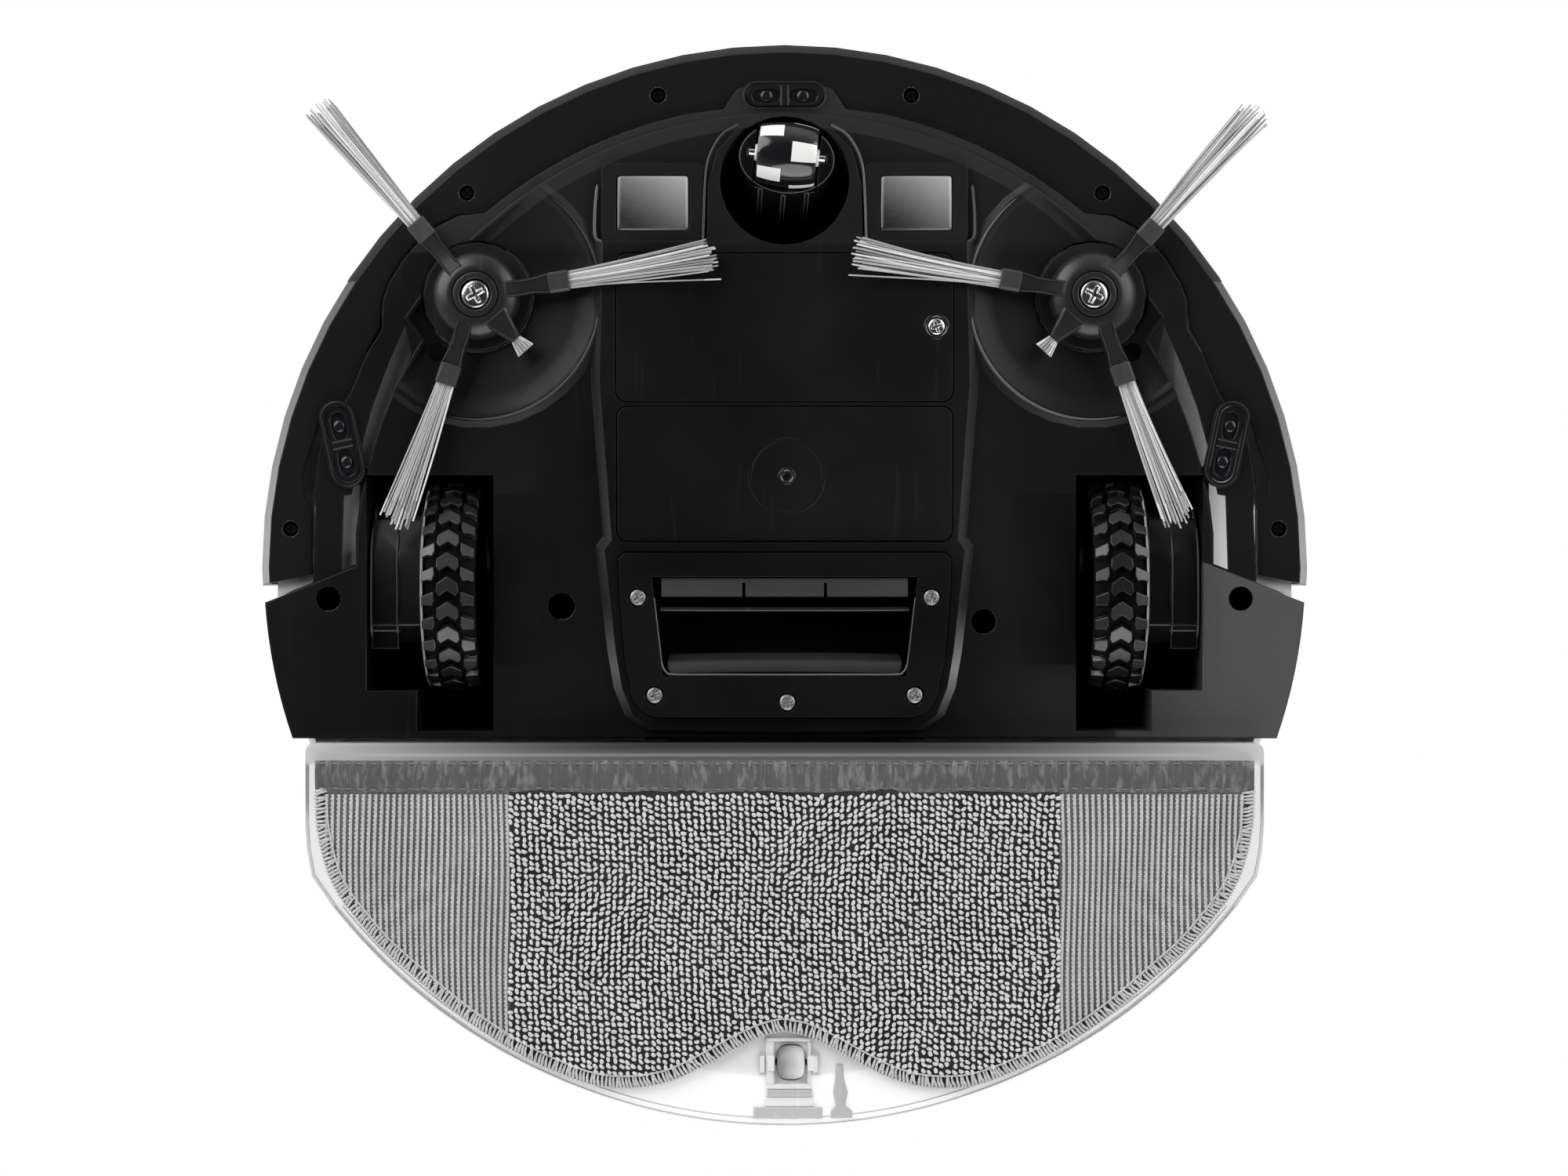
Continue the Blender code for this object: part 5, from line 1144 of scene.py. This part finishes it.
def mop_ribs():
    """Raised knit ribs on both sides of the terry, joined by fine cross stitches."""
    b, stitches = Build(), Build()
    count, pitch, step = 31, 1.81, 0.65
    for side in (1, -1):
        for k in range(count):
            x0 = side * (TERRY_HALF + 1.0 + pitch * k)
            end = float(rear_edge(x0)) - 3.0
            ys = np.arange(TERRY_FRONT - 0.5, end, step)
            path = []
            for m, y in enumerate(ys):
                swing = 0.12 * (1 if m % 2 else -1) + 0.35 * sin(y * 0.09 + k * 0.13)
                path.append((x0 + swing, y, 1.05 + float(ripple(x0, y)) + 0.22 * (m % 2)))
                if k:
                    x1 = x0 - side * 0.9 + swing
                    z = 1.5 + float(ripple(x0, y))
                    line = [(x1 - 0.72, y - 0.1, z), (x1, y + 0.12, z - 0.12), (x1 + 0.72, y - 0.1, z)]
                    stitches.tube(line, 0.17, 4)
            b.tube(path, [0.58 - 0.16 * (m % 2) for m in range(len(path))], 6, 0.7)
    ribs = b.make("mop_side_ribs", "mop_cloth", "tank", "mop_rib", smooth=80, weld=False)
    cross = stitches.make("mop_side_stitches", "mop_cloth", "tank", "mop_stitch", smooth=80, weld=False)
    return ribs, cross


def mop_binding():
    """The satin strip along the front, gathered by a row of stitches at each edge."""
    nx, ny, pitch = 560, 14, 3.85
    rows = []
    for j in range(ny + 1):
        v = j / ny
        row = []
        for i in range(nx + 1):
            x = MOP_HALF * (2 * i / nx - 1)
            wob = 0.25 * sin(x * 0.19) + 0.12 * sin(x * 0.53 + 1.0)
            y = 54.7 + 9.5 * v + wob * (1.0 if v > 0.5 else 0.2)
            puff = sin(pi * v) ** 0.6
            phase = tau * x / pitch + 0.8 * sin(x * 0.09) + (0.9 + 0.9 * sin(x * 0.045)) * v
            fold = max(0.0, sin(phase)) ** 2 * (0.65 + 0.35 * sin(x * 0.23 + 2.0))
            pull = 0.75 * fold * (1.0 - 0.55 * v) * min(1.0, 6 * v) * min(1.0, 5 * (1 - v))
            pull += 0.05 * sin(x * 1.9 + 3 * sin(x * 0.07) - v * 3.0)
            z = 1.2 - 0.5 * puff - 0.8 * pull
            row.append((x, y, max(0.1, z)))
        rows.append(row)
    b = Build()
    b.grid(rows, closed=False, caps=False)
    strip = b.make("mop_binding_strip", "mop_cloth", "tank", "mop_binding", smooth=80)
    stitches = Build()
    for row, loose in ((55.6, 0.2), (63.2, 1.0)):
        for i in range(int(281 / pitch)):
            x = -140.4 + i * pitch
            y = row + 0.25 * sin(x * 0.19) * loose
            path = [(x, y, 1.15), (x + 0.35, y, 0.62), (x + 1.35, y + 0.1, 0.62), (x + 1.7, y + 0.1, 1.15)]
            stitches.tube(path, 0.2, 5)
    thread = stitches.make("mop_binding_stitches", "mop_cloth", "tank", "mop_seam", smooth=80, weld=False)
    return strip, thread


def mop_overlock():
    """Overlock yarn wrapped round the curved edge, slanted, about one turn a millimetre, and its chain."""
    b = Build()
    line = np.vstack([CURVE, CURVE[::-1][1:] * [-1, 1]])
    run = np.concatenate([[0], np.cumsum(np.linalg.norm(np.diff(line, axis=0), axis=1))])

    def edge(s):
        """The point at a distance along the edge, with its way along and its way into the cloth."""
        p, q = [np.array([np.interp(d, run, line[:, k]) for k in (0, 1)]) for d in (s, s + 0.6)]
        t = (q - p) / np.linalg.norm(q - p)
        n = np.array([-t[1], t[0]])
        return p, t, n if n @ (np.array([0.0, 95.0]) - p) >= 0 else -n

    s = 9.0
    while s < run[-1] - 9.0:
        p, t, n = edge(s)
        lean = rng.uniform(0.2, 1.0)
        reach = rng.uniform(3.2, 4.2)
        path = [(*(p + n * 0.15), 2.6), (*(p - n * 0.05 + t * 0.1), 1.5), (*(p + n * 0.8 + t * 0.3), 0.72),
                (*(p + n * 1.9 + t * lean), 0.7), (*(p + n * reach + t * lean * 1.3), 1.15)]
        b.tube(path, [0.32, 0.4, 0.46, 0.42, 0.24], 6)
        s += rng.uniform(1.0, 1.3)
    chain = []
    for d in np.arange(10.0, run[-1] - 10.0, 0.9):
        p, t, n = edge(d)
        chain.append((*(p + n * 3.6), 0.9))
    b.tube(chain, 0.3, 5)
    return b.make("mop_overlock_edge", "mop_cloth", "tank", "mop_thread", smooth=80, weld=False)


def make_mop():
    """The cloth with everything sewn to it; its flat size is its size on the tank."""
    ground = mop_cloth()
    extras = [mop_loops(), *mop_ribs(), *mop_binding(), mop_overlock()]


# ---------------------------------------------------------------- stage
def make_floor():
    """A pale floor that is solid from above and clear from below, so that the underside shows."""
    mesh = bpy.data.meshes.new("floor")
    corners = [(u, v, -0.0004) for u, v in rectangle(-4, 4, -4, 4)]
    mesh.from_pydata(corners, [], [(0, 1, 2, 3)])
    floor = bpy.data.objects.new("floor", mesh)
    bpy.context.scene.collection.objects.link(floor)
    mat = bpy.data.materials.new("pale_floor")
    mat.use_nodes = True
    f = Nodes(mat.node_tree)
    f.tree.nodes.clear()
    out = f.add("ShaderNodeOutputMaterial")
    matte = f.add("ShaderNodeBsdfDiffuse", {"Color": (0.86, 0.86, 0.86, 1.0)})
    clear = f.add("ShaderNodeBsdfTransparent")
    side = f.add("ShaderNodeNewGeometry").outputs["Backfacing"]
    mix = f.add("ShaderNodeMixShader", {0: side, 1: matte.outputs[0], 2: clear.outputs[0]})
    f.feed(out.inputs["Surface"], mix.outputs[0])
    mesh.materials.append(mat)
    floor.visible_shadow = False
    floor.visible_diffuse = False
    floor.visible_glossy = False
    floor.visible_transmission = False


def make_world():
    """White to the camera, and a softer glow from the sides as light."""
    world = bpy.data.worlds.new("studio")
    bpy.context.scene.world = world
    world.use_nodes = True
    f = Nodes(world.node_tree)
    f.tree.nodes.clear()
    out = f.add("ShaderNodeOutputWorld")
    rays = f.add("ShaderNodeLightPath").outputs
    seen = f.most(rays["Is Camera Ray"], rays["Is Transmission Ray"])
    way = f.split(f.add("ShaderNodeTexCoord").outputs["Generated"])[2]
    glow = f.times(f.span(way, -0.85, -0.15, 0.0, 0.75), f.span(way, 0.05, 0.7, 1.0, 0.45))
    white = f.add("ShaderNodeBackground", {"Color": (1, 1, 1, 1), "Strength": 1.0})
    soft = f.add("ShaderNodeBackground", {"Color": (1, 1, 1, 1), "Strength": glow})
    mix = f.add("ShaderNodeMixShader", {0: seen, 1: soft.outputs[0], 2: white.outputs[0]})
    f.feed(out.inputs["Surface"], mix.outputs[0])


def make_camera():
    """Straight below the machine, looking up."""
    data = bpy.data.cameras.new("camera")
    data.lens = 68.5
    data.sensor_width = 36.0
    data.clip_start = 0.05
    camera = bpy.data.objects.new("camera", data)
    camera.location = (-0.0002, 0.0026, -0.9)
    camera.rotation_euler = (pi, 0.0, 0.0)
    bpy.context.scene.collection.objects.link(camera)
    bpy.context.scene.camera = camera
    bpy.context.scene.view_settings.view_transform = "Standard"


def area_light(name, at, size, watts):
    """A round lamp aimed at the object; those above the floor don't show in reflections."""
    data = bpy.data.lights.new(name, "AREA")
    data.shape = "DISK"
    data.size = size
    data.energy = watts
    lamp = bpy.data.objects.new(name, data)
    lamp.location = at
    aim = Vector((0.0, 0.0, 0.02)) - Vector(at)
    lamp.rotation_euler = aim.to_track_quat("-Z", "Y").to_euler()
    lamp.visible_glossy = at[2] < 0
    bpy.context.scene.collection.objects.link(lamp)


dress_frame()
make_screws()
bumper_screws()
for side, tag in SIDES:
    brush_hub(side, tag)
    bristles(side, tag)
    tyre(side, tag)
    gear_case_trim(side, tag)
caster_wheel()
caster_edge_highlights()
sensor_lenses()
hole_shade_fills()
inlet_lining()
platform_highlight_beads()
tank_fittings()
support_roller()
bumper_springs()
contact_plates()
make_mop()
make_floor()
make_world()
area_light("key_below", (-1.1, -0.9, -0.75), 1.7, 26.0)
area_light("fill_below", (1.2, -0.6, -0.75), 1.5, 15.0)
area_light("rear_below", (0.1, 1.35, -0.75), 1.5, 15.0)
area_light("key_above", (-0.8, -0.9, 1.3), 1.4, 14.0)
area_light("fill_above", (1.1, 0.7, 1.1), 1.4, 7.0)
make_camera()
